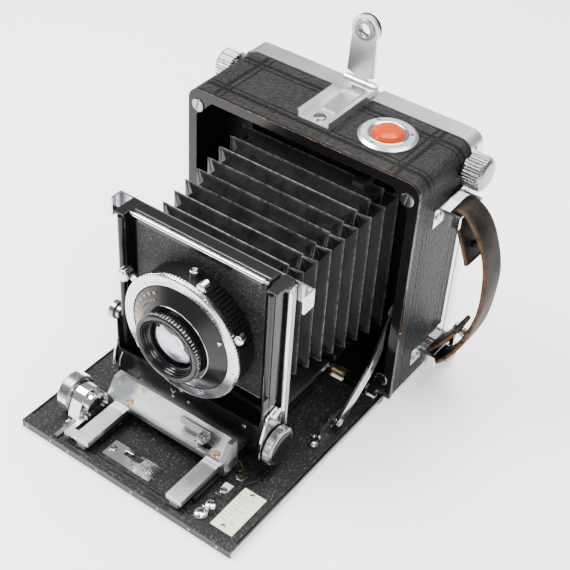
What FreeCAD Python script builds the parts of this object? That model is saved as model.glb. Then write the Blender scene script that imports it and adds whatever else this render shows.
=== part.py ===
import FreeCAD, Part
import math
import os
import re
import Sketcher

# A metal folding-bed view camera. Millimetres, +Z up, the lens looks towards -Y, +X is the
# camera's right side seen from the front. The origin is the mouth of the tripod socket
# under the body.

DIMS = {
    # body
    "front_y": -36, "shell_front": -33.5, "shell_rear": 22.5, "shell_half": 84.2, "shell_top": 169.2,
    "wall": 5, "floor_wall": 5.8, "outer_half": 85, "outer_top": 170, "leather_low": 3, "mouth_half": 78.5,
    "mouth_low": 6.5, "mouth_high": 163.5, "mouth_corner": 12, "block_size": 12, "block_front": -2,
    "rod_across": 73.2, "rod_low": 10.6, "rod_high": 156.3, "rod_radius": 3, "clearance": 0.05,
    "screw_radius": 4.6, "socket_radius": 4, "socket_deep": 8, "socket_neck": 8, "socket_flange": 12,
    "flange_thick": 3.2, "clamp_hole": 2.6, "button_hole": 11.5, "shell_corner": 8, "outer_corner": 8.8,
    "rim_screw_x": 77.2, "rim_screw_low": 14.5, "rim_screw_high": 158.5, "head_thick": 0.9,
    # side knobs of the back
    "lock_y": 18.7, "lock_radius": 11.2, "lock_small": 7.6, "lock_in": 87.2, "lock_out": 101,
    # bed
    "hinge_y": -41, "hinge_z": 6.5, "hinge_radius": 2, "bed_half": 82.5, "bed_front": -201.7,
    "bed_rear": -39, "bed_low": 1, "bed_high": 4, "bed_top": 5, "bed_edge": -194,
    "lug_in": 72, "lug_out": 78, "knuckle_radius": 3.4, "sheet": 1.2, "bush_x": -2, "bush_y": -134,
    "bush_neck": 9, "bush_disc": 26, "bush_thick": 2, "latch_left": -25, "latch_right": 12,
    "latch_front": -191, "latch_rear": -178, "guide_in": 30.5, "guide_out": 44, "guide_front": -186,
    "guide_rear": -66, "guide_high": 9, "slide_in": 65.5, "slide_out": 73.8, "slide_front": -100,
    "slide_rear": -76, "arch_in": 51.2, "arch_out": 59.5, "stop_in": 50, "stop_out": 55.7,
    "stop_front": -174.8, "stop_rear": -164, "stop_high": 9, "flag_x": 54, "flag_y": -184,
    "flag_low": 8.2, "flag_high": 10, "lever_x": -55.5, "lever_y": -188.4,
    # struts
    "stud_y": -28, "stud_z": 66.5, "stud_radius": 3, "pin_y": -83, "pin_z": 11, "pin_radius": 1.5,
    "strut_in": 75.5, "strut_out": 77, "strut_wide": 4.6,
    # rails and focusing
    "rail_in": 31, "rail_out": 42.3, "rail_low": 11, "rail_high": 15, "rail_front": -197,
    "rail_rear": -60, "knob_y": -171.3, "knob_z": 18.5, "knob_radius": 12.8, "gear_module": 1,
    "gear_teeth": 12, "rack_in": 47.3, "rack_out": 50.5,
    # carriage
    "cheek_in": 43, "cheek_out": 46.5, "deck_low": 15.3, "deck_high": 17.3, "carriage_front": -162,
    "carriage_rear": -148.5, "wall_high": 31, "lip_high": 19,
    # front standard
    "base_half": 57, "base_front": -140, "base_rear": -118, "base_low": 17.7, "base_high": 38.5,
    "floor_low": 24, "floor_high": 26, "post_in": 51.8, "post_out": 57.2, "post_front": -134,
    "post_high": 142, "shift_y": -130, "shift_z": 20.7, "shift_radius": 2.2,
    # lens frame, board and shutter
    "frame_half": 51.5, "frame_front": -126, "frame_rear": -118, "frame_low": 46.5,
    "frame_high": 141, "board_half": 47.3, "board_front": -129, "board_low": 50,
    "board_high": 139.6, "lens_z": 84.4, "ring_radius": 42.9, "ring_front": -147,
    "ring_back": -143.6, "barrel_radius": 23.2, "barrel_front": -160,
    # peep sight, button, back
    "sight_y": 29, "sight_z": 175.6, "button_x": 41.7, "button_y": -3.6, "button_radius": 10,
    "bezel_radius": 18.4, "back_half": 85.5, "back_high": 171.5, "back_low": 0.5, "back_rear": 37,
    "glass_half": 65, "glass_low": 19, "glass_high": 151,
    # hand strap
    "strap_front": -8, "strap_rear": 12,
}

doc = FreeCAD.newDocument("ViewCamera")
sheet = doc.addObject("Spreadsheet::Sheet", "Dims")
for row, (alias, number) in enumerate(DIMS.items(), 1):
    sheet.set(f"A{row}", alias)
    sheet.set(f"B{row}", str(number))
    sheet.setAlias(f"B{row}", alias)
doc.recompute()

SIDES = (("left", -1), ("right", 1))
TURN = {
    "x": FreeCAD.Rotation(FreeCAD.Vector(0, 0, 1), FreeCAD.Vector(1, 0, 0)),
    "y": FreeCAD.Rotation(FreeCAD.Vector(0, 0, 1), FreeCAD.Vector(0, 1, 0)),
    "z": FreeCAD.Rotation(),
}
NODES = []


# ---- helpers: every size and place is a formula of the sheet's words ----

def cells(formula):
    """A formula in the sheet's words, written the way the document reads it."""
    def cell(word):
        return "Dims." + word.group(0) if word.group(0) in DIMS else word.group(0)
    return re.sub(r"[a-z][a-z0-9_]*", cell, str(formula))


def bind(thing, prop, formula):
    thing.setExpression(prop, cells(formula))


def place(thing, x, y, z):
    for name, formula in (("x", x), ("y", y), ("z", z)):
        bind(thing, "Placement.Base." + name, formula)


def block(name, x, y, z):
    """A box between two formulas on each axis."""
    thing = doc.addObject("Part::Box", name)
    place(thing, x[0], y[0], z[0])
    for prop, (low, high) in (("Length", x), ("Width", y), ("Height", z)):
        bind(thing, prop, f"({high}) - ({low})")
    return thing


def side_block(name, sign, x, y, z):
    """A box whose X range is given outwards from the middle, on one side."""
    across = x if sign > 0 else (f"-({x[1]})", f"-({x[0]})")
    return block(name, across, y, z)


def rod(name, axis, start, radius, length):
    """A round bar from a point along an axis."""
    thing = doc.addObject("Part::Cylinder", name)
    thing.Placement.Rotation = TURN[axis]
    place(thing, *start)
    bind(thing, "Radius", radius)
    bind(thing, "Height", length)
    return thing


def side_rod(name, sign, x, y, z, radius):
    """A round bar along X, its ends given outwards from the middle."""
    low = x[0] if sign > 0 else f"-({x[1]})"
    return rod(name, "x", (low, y, z), radius, f"({x[1]}) - ({x[0]})")


def fuse(name, *things):
    result = doc.addObject("Part::MultiFuse", name)
    result.Shapes = list(things)
    result.Refine = True
    return result


def group(name, *things):
    """Separate solids that share one node."""
    result = doc.addObject("Part::Compound", name)
    result.Links = list(things)
    return result


def cut(name, base, *tools):
    result = doc.addObject("Part::Cut", name)
    result.Base = base
    result.Tool = tools[0] if len(tools) == 1 else fuse(name + "_cutters", *tools)
    return result


def ring(name, axis, start, outer, inner, length):
    return cut(name, rod(name + "_outside", axis, start, outer, length),
               rod(name + "_bore", axis, start, inner, length))


def corner_cutters(name, half, top, y, radius):
    """What comes off to round a body's two top corners along their whole depth."""
    tools = []
    for side, sign in SIDES:
        square = side_block(f"{name}_{side}_square", sign, (f"{half} - {radius}", f"{half} + 1"),
                            (f"{y[0]} - 1", f"{y[1]} + 1"), (f"{top} - {radius}", f"{top} + 1"))
        round_part = rod(f"{name}_{side}_round", "y", (f"{sign} * ({half} - {radius})", f"{y[0]} - 2",
                                                      f"{top} - {radius}"), radius,
                                                      f"{y[1]} - ({y[0]}) + 4")
        tools.append(cut(f"{name}_{side}_corner", square, round_part))
    return tools


def node(thing, label):
    """Marks a finished piece: its label names its file."""
    thing.Label = label
    NODES.append(thing)
    return thing


def lock(sketch, geometry, end, point, guess):
    """Holds one sketch point at a place given by two formulas."""
    for kind, formula, start in zip(("DistanceX", "DistanceY"), point, guess):
        made = sketch.addConstraint(Sketcher.Constraint(kind, -1, 1, geometry, end, start))
        bind(sketch, f"Constraints[{made}]", formula)


def draw_loop(sketch, points):
    """A closed outline; the starting circle of corners is only a guess for the solver."""
    count = len(points)
    turns = [2 * math.pi * k / count for k in range(count)]
    guesses = [FreeCAD.Vector(0.3 + 5 * math.cos(turn), 0.2 + 5 * math.sin(turn), 0) for turn in turns]
    first = sketch.GeometryCount
    for k in range(count):
        sketch.addGeometry(Part.LineSegment(guesses[k], guesses[(k + 1) % count]), False)
    for k in range(count):
        following = first + (k + 1) % count
        sketch.addConstraint(Sketcher.Constraint("Coincident", first + k, 2, following, 1))
    for k, point in enumerate(points):
        lock(sketch, first + k, 1, point, guesses[k])


def draw_circle(sketch, centre, radius):
    middle = FreeCAD.Vector(1, 1, 0)
    drawn = sketch.addGeometry(Part.Circle(middle, FreeCAD.Vector(0, 0, 1), 2), False)
    lock(sketch, drawn, 3, centre, middle)
    made = sketch.addConstraint(Sketcher.Constraint("Radius", drawn, 2))
    bind(sketch, f"Constraints[{made}]", radius)


def new_sketch(body, plane, start):
    sketch = body.newObject("Sketcher::SketchObject", body.Name + "_sketch")
    face = [item for item in body.Origin.OriginFeatures if item.Role == plane][0]
    sketch.AttachmentSupport = [(face, "")]
    sketch.MapMode = "FlatFace"
    bind(sketch, "AttachmentOffset.Base.z", start)
    return sketch


def plate(name, plane, low, high, loops, circles=()):
    """A flat piece padded between two levels; XZ sketches face -Y, so their level is turned."""
    body = doc.addObject("PartDesign::Body", name)
    sketch = new_sketch(body, plane, f"-({high})" if plane == "XZ_Plane" else low)
    for points in loops:
        draw_loop(sketch, points)
    for centre, radius in circles:
        draw_circle(sketch, centre, radius)
    pad = body.newObject("PartDesign::Pad", name + "_pad")
    pad.Profile = sketch
    bind(pad, "Length", f"({high}) - ({low})")
    return body


def turned(name, axis, start, profile):
    """A round piece: its profile is (along, radius) points, turned about the local Z axis."""
    body = doc.addObject("PartDesign::Body", name)
    sketch = new_sketch(body, "XZ_Plane", "0")
    draw_loop(sketch, [(radius, along) for along, radius in profile])
    turn = body.newObject("PartDesign::Revolution", name + "_turn")
    turn.Profile = sketch
    turn.ReferenceAxis = (sketch, ["V_Axis"])
    turn.Angle = 360
    body.Placement.Rotation = TURN[axis]
    place(body, *start)
    return body


def knob(name, axis, start, radius, length, grooves):
    """A turned knob with a ribbed rim, its grooves repeated round the axis."""
    face = f"({length}) - 1"
    body = turned(name, axis, start, [("0", "0"), ("0", f"({radius}) - 1"), ("1", radius), (face, radius),
                                      (length, f"({radius}) - 1"), (length, "0")])
    sketch = new_sketch(body, "XY_Plane", "0")
    draw_circle(sketch, (f"({radius}) + 0.45", "0"), "0.9")
    doc.recompute()
    pocket = body.newObject("PartDesign::Pocket", name + "_groove")
    pocket.Profile = sketch
    pocket.Reversed = True
    bind(pocket, "Length", length)
    pattern = body.newObject("PartDesign::PolarPattern", name + "_grooves")
    pattern.Originals = [pocket]
    pattern.Axis = ([item for item in body.Origin.OriginFeatures if item.Role == "Z_Axis"][0], [""])
    pattern.Angle = 360
    pattern.Occurrences = grooves
    body.Tip = pattern
    return body


def rectangle(x, z):
    return [(x[0], z[0]), (x[1], z[0]), (x[1], z[1]), (x[0], z[1])]


def mirrored(points):
    """The points of one side, followed back by their mirror images across X = 0."""
    return points + [(f"-({x})", z) for x, z in reversed(points)]


# ---- body ----

def make_body():
    shell = block("shell_outside", ("-shell_half", "shell_half"), ("shell_front", "shell_rear"),
                  ("0", "shell_top"))
    inside = block("shell_inside", ("wall - shell_half", "shell_half - wall"),
                   ("shell_front - 1", "shell_rear + 1"), ("floor_wall", "shell_top - wall"))
    depth = ("shell_front", "shell_rear")
    corners = corner_cutters("shell", "shell_half", "shell_top", depth, "shell_corner")
    walls = cut("shell_walls", shell, inside, *corners)
    blocks = []
    bores = []
    for side, sign in SIDES:
        for level, low in (("low", "floor_wall"), ("high", "shell_top - wall - block_size")):
            blocks.append(side_block(f"block_{side}_{level}", sign,
                                     ("shell_half - wall - block_size", "shell_half - wall"),
                                     ("block_front", "shell_rear"), (low, f"{low} + block_size")))
        for level in ("rod_low", "rod_high"):
            bores.append(rod(f"bore_{side}_{level}", "y", (f"{sign} * rod_across", "block_front - 1",
                                                           level),
                             "rod_radius + clearance", "shell_rear - block_front + 2"))
            bores.append(side_rod(f"clamp_hole_{side}_{level}", sign, ("rod_across", "outer_half + 1"),
                                  "lock_y", level, "clamp_hole"))
    bores.append(rod("button_bore", "z", ("button_x", "button_y", "shell_top - wall - 1"), "button_hole",
                     "wall + 2"))
    bores.append(rod("socket_hole", "z", ("0", "0", "-1"), "socket_neck", "wall + 3"))
    node(cut("body_shell_cut", fuse("shell_with_blocks", walls, *blocks), *bores), "body_shell")

    wrap = block("leather_outside", ("-outer_half", "outer_half"), ("shell_front", "shell_rear"),
                 ("leather_low", "outer_top"))
    core = cut("leather_inside", block("leather_core", ("-shell_half", "shell_half"),
                                       ("shell_front - 1", "shell_rear + 1"),
                                       ("leather_low - 1", "shell_top")),
               *corner_cutters("core", "shell_half", "shell_top", depth, "shell_corner"))
    holes = [rod("leather_button_hole", "z", ("button_x", "button_y", "shell_top - 1"), "button_hole", "3")]
    holes += corner_cutters("leather", "outer_half", "outer_top", depth, "outer_corner")
    for side, sign in SIDES:
        for level in ("rod_low", "rod_high"):
            holes.append(side_rod(f"leather_hole_{side}_{level}", sign,
                                  ("shell_half - 1", "outer_half + 1"),
                                  "lock_y", level, "clamp_hole"))
    node(cut("body_leather_cut", wrap, core, *holes), "body_leather")

    socket = fuse("socket_metal", rod("socket_tube", "z", ("0", "0", "0"), "socket_neck", "floor_wall"),
                  rod("socket_plate", "z", ("0", "0", "floor_wall"), "socket_flange", "flange_thick"))
    node(cut("tripod_socket_cut", socket, rod("socket_bore", "z", ("0", "0", "-1"), "socket_radius",
                                              "socket_deep + 1")), "body_tripod_socket")


def make_front_frame():
    inner_corner = ("mouth_half", "mouth_low + mouth_corner")
    window = mirrored([("mouth_half - mouth_corner", "mouth_low"), inner_corner,
                       ("mouth_half", "mouth_high - mouth_corner"),
                       ("mouth_half - mouth_corner", "mouth_high")])
    rim = plate("front_rim", "XZ_Plane", "front_y", "shell_front",
                [rectangle(("-outer_half", "outer_half"), ("0", "outer_top")), window])
    lugs = []
    bores = []
    for side, sign in SIDES:
        across = ("lug_in", "lug_out")
        lugs.append(side_rod(f"lug_round_{side}", sign, across, "hinge_y", "hinge_z",
                             "knuckle_radius"))
        lugs.append(side_block(f"lug_arm_{side}", sign, across, ("hinge_y", "front_y + 0.5"),
                               ("hinge_z - knuckle_radius", "hinge_z + knuckle_radius")))
        bores.append(side_rod(f"lug_bore_{side}", sign, ("lug_in - 1", "lug_out + 1"), "hinge_y", "hinge_z",
                              "hinge_radius"))
    bores += corner_cutters("front", "outer_half", "outer_top", ("front_y", "shell_front"), "outer_corner")
    node(cut("front_frame_cut", fuse("front_frame_metal", rim, *lugs), *bores), "front_frame")
    node(rod("bed_hinge_rod_bar", "x", ("-79", "hinge_y", "hinge_z"), "hinge_radius", "158"),
         "bed_hinge_rod")
    heads = []
    for side, sign in SIDES:
        for level in ("low", "high"):
            height = f"rim_screw_{level}"
            name = f"rim_screw_{side}_{level}"
            head = rod(name, "y", (f"{sign} * rim_screw_x", "front_y - head_thick", height), "screw_radius",
                       "head_thick")
            slot = block(name + "_slot", (f"{sign} * rim_screw_x - 5", f"{sign} * rim_screw_x + 5"),
                         ("front_y - 1", "front_y - 0.5"), (f"{height} - 0.5", f"{height} + 0.5"))
            heads.append(cut(name + "_slotted", head, slot))
    return heads


def make_bellows():
    frame = plate("bellows_rear_plate", "XZ_Plane", "-5", "-3",
                  [rectangle(("wall - shell_half", "shell_half - wall"),
                             ("wall + 0.8", "shell_top - wall")),
                   rectangle(("-57", "57"), ("28", "144"))])
    notch = block("bellows_frame_notch", ("-13", "13"), ("-6", "-2"), ("0", "9.5"))
    node(cut("bellows_frame_cut", frame, notch), "bellows_rear_frame")

    def section(y, half, low, high):
        corners = [(-half, low), (half, low), (half, high), (-half, high), (-half, low)]
        return Part.makePolygon([FreeCAD.Vector(x, y, z) for x, z in corners])
    rear_y = -5.0
    front_y = sheet.get("frame_rear") + 0.3
    outside = Part.makeLoft([section(rear_y, 60, 25, 147), section(front_y, 45, 52, 127)], True, True)
    inside = Part.makeLoft([section(rear_y, 56, 29, 143), section(front_y, 41, 56, 123)], True, True)
    skin = doc.addObject("Part::Feature", "bellows_skin")
    skin.Shape = outside.cut(inside)
    skin.Placement = FreeCAD.Placement()
    node(skin, "bellows")


def make_struts():
    studs = []
    for side, sign in SIDES:
        shank = side_rod(f"stud_shank_{side}", sign, ("strut_in - 0.3", "shell_half - wall"), "stud_y",
                         "stud_z", "stud_radius")
        head = side_rod(f"stud_head_{side}", sign, ("strut_in - 1.6", "strut_in - 0.3"), "stud_y", "stud_z",
                        "5")
        studs.append(fuse(f"stud_{side}", shank, head))
        body = plate(f"strut_bar_{side}", "YZ_Plane",
                     "strut_in" if sign > 0 else "-strut_out", "strut_out" if sign > 0 else "-strut_in",
                     [[("stud_y - strut_wide", "stud_z + 3"), ("stud_y + 1", "stud_z + strut_wide"),
                       ("stud_y + strut_wide", "stud_z - 1"), ("-47", "30.5"), ("pin_y + 4", "pin_z - 3"),
                       ("pin_y - 2", "pin_z - 3.6"), ("pin_y - strut_wide", "pin_z + 2"), ("-54", "37.3")]],
                     [(("stud_y", "stud_z"), "stud_radius + clearance"), (("-50.5", "34"), "1.6")])
        pin = side_rod(f"strut_pin_{side}", sign, ("71.2", "strut_in"), "pin_y", "pin_z", "pin_radius")
        head = side_rod(f"strut_pin_head_{side}", sign, ("70", "71.2"), "pin_y", "pin_z", "3.4")
        node(fuse(f"strut_{side}_all", body, pin, head), f"strut_{side}")
    node(group("studs", *studs), "strut_studs")


# ---- bed ----

def make_bed():
    tray = block("bed_tray", ("-bed_half", "bed_half"), ("bed_front", "bed_rear"), ("bed_low", "bed_high"))
    edge = block("bed_edge_bar", ("-bed_half", "bed_half"), ("bed_front", "bed_edge"),
                 ("0.4", "bed_top + 0.8"))
    groove = block("bed_edge_groove", ("-bed_half - 1", "bed_half + 1"), ("bed_front + 3", "bed_front + 4"),
                   ("bed_top + 0.1", "bed_top + 1"))
    metal = [tray, edge]
    cutters = [groove]
    spring_gap = ("43", "53")
    for side, sign in SIDES:
        metal.append(side_block(f"bed_flange_{side}", sign, ("bed_half - 1.5", "bed_half"),
                                ("bed_front", "bed_rear"), ("0.4", "bed_top + 0.6")))
        for part, across in (("inner", ("20", "42")), ("outer", ("54", "70"))):
            metal.append(side_rod(f"knuckle_{side}_{part}", sign, across, "hinge_y", "hinge_z",
                                  "knuckle_radius"))
        cutters.append(side_block(f"lug_notch_{side}", sign, ("lug_in - 0.6", "lug_out + 0.6"),
                                  ("hinge_y - 4.4", "bed_rear + 1"), ("-1", "12")))
    cutters.append(rod("knuckle_bore", "x", ("-80", "hinge_y", "hinge_z"), "hinge_radius + 0.06", "160"))
    cutters.append(block("spring_window", spring_gap, ("hinge_y - 4.4", "bed_rear + 1"), ("-1", "12")))
    cutters.append(rod("bed_socket_hole", "z", ("bush_x", "bush_y", "-1"), "bush_neck", "8"))
    node(cut("bed_cut", fuse("bed_metal", *metal), *cutters), "bed_plate")

    skins = []
    for level, low, high in (("outer", "0", "bed_low"), ("inner", "bed_high", "bed_top")):
        skin = block(f"skin_{level}", ("1.6 - bed_half", "bed_half - 1.6"),
                     ("bed_edge + 0.1", "bed_rear - 7"),
                     (low, high))
        hole = rod(f"skin_hole_{level}", "z", ("bush_x", "bush_y", "-1"), "bush_neck", "8")
        skins.append(cut(f"skin_cut_{level}", skin, hole))
    node(group("bed_skins", *skins), "bed_leather")

    bush = fuse("bush_metal", rod("bush_tube", "z", ("bush_x", "bush_y", "0"), "bush_neck", "bed_top"),
                rod("bush_plate", "z", ("bush_x", "bush_y", "bed_top"), "bush_disc", "bush_thick"))
    node(cut("bush_cut", bush, rod("bush_bore", "z", ("bush_x", "bush_y", "-1"), "socket_radius", "9")),
         "bed_tripod_bush")

    latch = block("latch_sheet", ("latch_left", "latch_right"), ("latch_front", "latch_rear"),
                  ("bed_top", "bed_top + sheet"))
    slot = block("latch_slot", ("latch_left + 11", "latch_right - 13"),
                 ("latch_rear - 6", "latch_rear - 1.6"), ("bed_top - 1", "bed_top + 2"))
    node(cut("latch_cut", latch, slot), "latch_plate")


def make_bed_fittings():
    guides = []
    slides = []
    screws = [rod(f"bed_screw_{k}", "z", (x, y, z), radius, "0.8") for k, (x, y, z, radius) in enumerate([
        ("latch_left + 3", "-184.5", "bed_top + sheet", "2.4"),
        ("latch_right - 4.7", "-184.5", "bed_top + sheet", "2.4"),
        ("52.5", "-153.2", "bed_top", "3")])]
    for side, sign in SIDES:
        length = ("guide_front", "guide_rear")
        base = side_block(f"guide_base_{side}", sign, ("guide_in", "guide_out"), length, ("bed_top", "6.7"))
        inner = side_block(f"guide_inner_{side}", sign, ("guide_in", "guide_in + 2.4"), length,
                           ("bed_top", "guide_high"))
        outer = side_block(f"guide_outer_{side}", sign, ("guide_out - 3.6", "guide_out"), length,
                           ("bed_top", "guide_high"))
        guides.append(fuse(f"guide_{side}", base, inner, outer))
        wall = side_block(f"slide_wall_{side}", sign, ("slide_out - 1.6", "slide_out"),
                          ("slide_front", "slide_rear"),
                          ("bed_top", "15.5"))
        foot = side_block(f"slide_foot_{side}", sign, ("slide_in", "slide_out"),
                          ("slide_front", "slide_rear"),
                          ("bed_top", "bed_top + sheet"))
        slot = side_block(f"slide_slot_{side}", sign, ("slide_out - 2.8", "slide_out + 1.2"),
                          ("slide_front + 2.6", "slide_rear - 4"),
                          ("pin_z - 2.4", "pin_z + 2.4"))
        slides.append(cut(f"slide_{side}", fuse(f"slide_metal_{side}", wall, foot), slot))
        screws.append(rod(f"slide_screw_{side}", "z", (f"{sign} * (slide_in + 2.1)", "slide_front + 2.4",
                                                       "bed_top + sheet"),
                          "1.9", "0.8"))
    node(group("guides", *guides), "rail_guides")
    node(group("bed_screw_heads", *screws), "bed_screws")

    arch = plate("bracket_arch", "YZ_Plane", "-arch_out", "-arch_in",
                 [[("-183", "bed_top"), ("-183", "13"), ("-177", "25.5"), ("-165.5", "25.5"),
                   ("-159.6", "13"),
                   ("-159.6", "bed_top")]], [(("knob_y", "knob_z"), "2.5 + clearance")])
    stop = block("stop_body", ("stop_in", "stop_out"), ("stop_front", "stop_rear"),
                 ("bed_top", "stop_high"))
    node(group("brackets", arch, stop, *slides), "bed_brackets")
    flag = fuse("flag_all", rod("flag_hub", "z", ("flag_x", "flag_y", "bed_top + 0.3"), "3.4", "5"),
                block("flag_arm", ("flag_x - 6", "flag_x - 2.5"), ("flag_y - 3", "flag_y + 6.4"),
                      ("flag_low", "flag_high")),
                block("flag_link", ("flag_x - 4", "flag_x"), ("flag_y - 2", "flag_y + 2"),
                      ("flag_low", "flag_high")))
    node(flag, "infinity_stop")
    lever = fuse("focus_lock_all", rod("focus_lock_hub", "z", ("lever_x", "lever_y", "bed_top + 0.3"),
                                       "3.2", "2.6"),
                 block("focus_lock_arm", ("lever_x - 1.5", "lever_x + 1.5"), ("lever_y - 11.1", "lever_y"),
                       ("6.4", "7.9")))
    node(lever, "focus_lock")


def make_focus_drive():
    pitch = math.pi * DIMS["gear_module"]
    teeth = []
    for k in range(-3, 13):
        centre = (k + 0.5) * pitch
        for across, level in ((-1.0, "11.2"), (-0.3, "13.3"), (0.3, "13.3"), (1.0, "11.2")):
            teeth.append((f"knob_y + {centre + across:.4f}", level))
    outline = [("rail_front", "9.6"), ("rail_front", "12.6"), ("knob_y - 10.4", "12.6")] + teeth
    outline += [("knob_y + 40.3", "12.6"), ("-106", "12.6"), ("-106", "9.6")]
    rack = plate("rack_bar", "YZ_Plane", "-rack_out", "-rack_in", [outline])

    strips = [rack]
    for side, sign in SIDES:
        along = ("rail_front", "rail_rear")
        strips.append(side_block(f"rail_strip_{side}", sign, ("rail_in", "rail_out"), along,
                                 ("rail_low", "rail_high")))
        strips.append(side_block(f"rail_web_{side}", sign, ("33.5", "39.8"), along, ("7", "rail_low")))
    strips.append(block("rail_tie", ("-rail_in", "rail_in"), ("-66", "rail_rear"), ("rail_low", "14")))
    for name, along in (("front", ("rail_front", "-191")), ("rear", ("-112", "-106"))):
        strips.append(block(f"rack_tie_{name}", ("-rack_out", "-rail_out + 1"), along, ("11.4", "12.6")))
    node(fuse("rails_all", *strips), "focus_rails")

    gear = []
    for k in range(DIMS["gear_teeth"]):
        middle = 2 * math.pi * k / DIMS["gear_teeth"] - math.pi / 2
        for turn, reach in ((-0.20, 4.6), (-0.045, 6.8), (0.045, 6.8), (0.20, 4.6)):
            gear.append((f"knob_y + {reach * math.cos(middle + turn):.4f}",
                         f"knob_z + {reach * math.sin(middle + turn):.4f}"))
    pinion = plate("pinion_gear", "YZ_Plane", "-rack_out + 0.2", "-rack_in - 0.2", [gear])
    shaft = rod("pinion_shaft", "x", ("-60", "knob_y", "knob_z"), "2.5", "13")
    node(fuse("focus_shaft_all", pinion, shaft), "focus_shaft")
    node(knob("focus_knob_turned", "x", ("-69", "knob_y", "knob_z"), "knob_radius", "9", 36), "focus_knob")


# ---- carriage and front standard ----

def make_carriage():
    width = ("-cheek_out", "cheek_out")
    parts = [
        block("carriage_floor", width, ("carriage_front", "carriage_rear"), ("deck_low", "deck_high")),
        block("carriage_wall", width, ("carriage_rear - 2", "carriage_rear"), ("deck_low", "wall_high")),
        block("carriage_lip", width, ("carriage_front", "carriage_front + 1.5"), ("deck_low", "lip_high")),
        block("carriage_deck", ("-42", "42"), ("carriage_rear - 1", "-108"), ("deck_low", "deck_high")),
        block("tee_stem", ("-30", "30"), ("-124", "-121"), ("deck_low", "20.5")),
        block("tee_head", ("-30", "30"), ("-126", "-119"), ("20.5", "floor_low - 0.3")),
        block("nut_block", ("31", "38"), ("-134.2", "-126.8"), ("deck_low", "floor_low - 0.3")),
    ]
    profile = [("carriage_front", "11.2"), ("carriage_front", "20"), ("carriage_front + 7", "wall_high"),
               ("carriage_rear", "wall_high"), ("carriage_rear", "11.2")]
    for side, sign in SIDES:
        low, high = ("cheek_in", "cheek_out") if sign > 0 else ("-cheek_out", "-cheek_in")
        parts.append(plate(f"cheek_{side}", "YZ_Plane", low, high, [profile]))
        parts.append(side_block(f"gib_{side}", sign, ("40.6", "cheek_in + 1"),
                                ("carriage_front", "carriage_rear"),
                                ("9.4", "10.7")))
        parts.append(side_block(f"gib_step_{side}", sign, ("cheek_in", "cheek_out"),
                                ("carriage_front", "carriage_rear"), ("9.4", "11.4")))
    bore = rod("nut_bore", "x", ("30", "shift_y", "shift_z"), "shift_radius + clearance", "9")
    lever_hole = rod("carriage_lock_hole", "y", ("8", "carriage_rear - 3", "23"), "1.5 + clearance", "4")
    node(cut("carriage_cut", fuse("carriage_all", *parts), bore, lever_hole), "carriage_channel")

    lever = fuse("carriage_lock_all",
                 rod("carriage_lock_pin", "y", ("8", "-152", "23"), "1.5", "4.5"),
                 block("carriage_lock_arm", ("4.5", "27"), ("-152.2", "-150.9"), ("20.6", "25.4")),
                 rod("carriage_lock_grip", "y", ("25", "-158", "23"), "3.2", "6"))
    node(lever, "carriage_lock")


def make_standard():
    width = ("-base_half", "base_half")
    parts = [
        block("base_panel", width, ("base_front", "base_front + 2"), ("base_low", "base_high")),
        block("base_floor", width, ("base_front", "base_rear"), ("floor_low", "floor_high")),
        block("lip_front", ("-20", "20"), ("-127.6", "-126.4"), ("18", "floor_low + 1")),
        block("lip_front_foot", ("-20", "20"), ("-127.6", "-124.4"), ("18", "20.1")),
        block("lip_rear", ("-20", "20"), ("-118.6", "-117.4"), ("18", "floor_low + 1")),
        block("lip_rear_foot", ("-20", "20"), ("-120.6", "-117.4"), ("18", "20.1")),
    ]
    for side, sign in SIDES:
        parts.append(side_block(f"base_end_{side}", sign, ("base_half - 2", "base_half"),
                                ("base_front", "base_rear"), ("base_low", "base_high + 6")))
        parts.append(side_block(f"post_{side}", sign, ("post_in", "post_out"), ("post_front", "base_rear"),
                                ("floor_low", "post_high - 2")))
        parts.append(side_block(f"post_cap_{side}", sign, ("post_in", "post_out + 1.6"),
                                ("post_front - 1", "base_rear"), ("post_high - 2", "post_high")))
    bore = rod("base_bore", "x", ("50", "shift_y", "shift_z"), "shift_radius + clearance", "10")
    rise_bore = rod("rise_bore", "x", ("-60", "-130.4", "59"), "1.6", "9")
    node(cut("standard_cut", fuse("standard_all", *parts), bore, rise_bore), "standard_frame")

    trim = []
    for side, sign in SIDES:
        trim.append(rod(f"guide_rod_{side}", "z", (f"{sign} * 59.6", "-123.5", "44.8"), "1.5", "93.2"))
        trim.append(side_block(f"guide_foot_{side}", sign, ("post_out", "58.8"), ("-139", "-119"),
                               ("floor_low + 1", "44.8")))
        trim.append(side_block(f"guide_head_{side}", sign, ("post_out", "60.9"), ("-126", "-121"),
                               ("138", "post_high - 2")))
    node(group("standard_trim", *trim), "guide_rods")

    rise = turned("rise_lock_turned", "x", ("-68", "-130.4", "59"),
                  [("0", "0"), ("0", "5"), ("1", "6"), ("4.5", "6"), ("5.5", "4.5"), ("8", "4.5"),
                   ("8", "1.5"),
                   ("16.1", "1.5"), ("16.1", "0")])
    node(rise, "rise_lock")
    node(rod("shift_screw_bar", "x", ("24", "shift_y", "shift_z"), "shift_radius", "35.4"), "shift_screw")
    node(knob("shift_knob_turned", "x", ("59.4", "shift_y", "shift_z"), "knob_radius", "6.8", 40),
         "shift_knob")


# ---- lens frame, board and shutter ----

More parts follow.
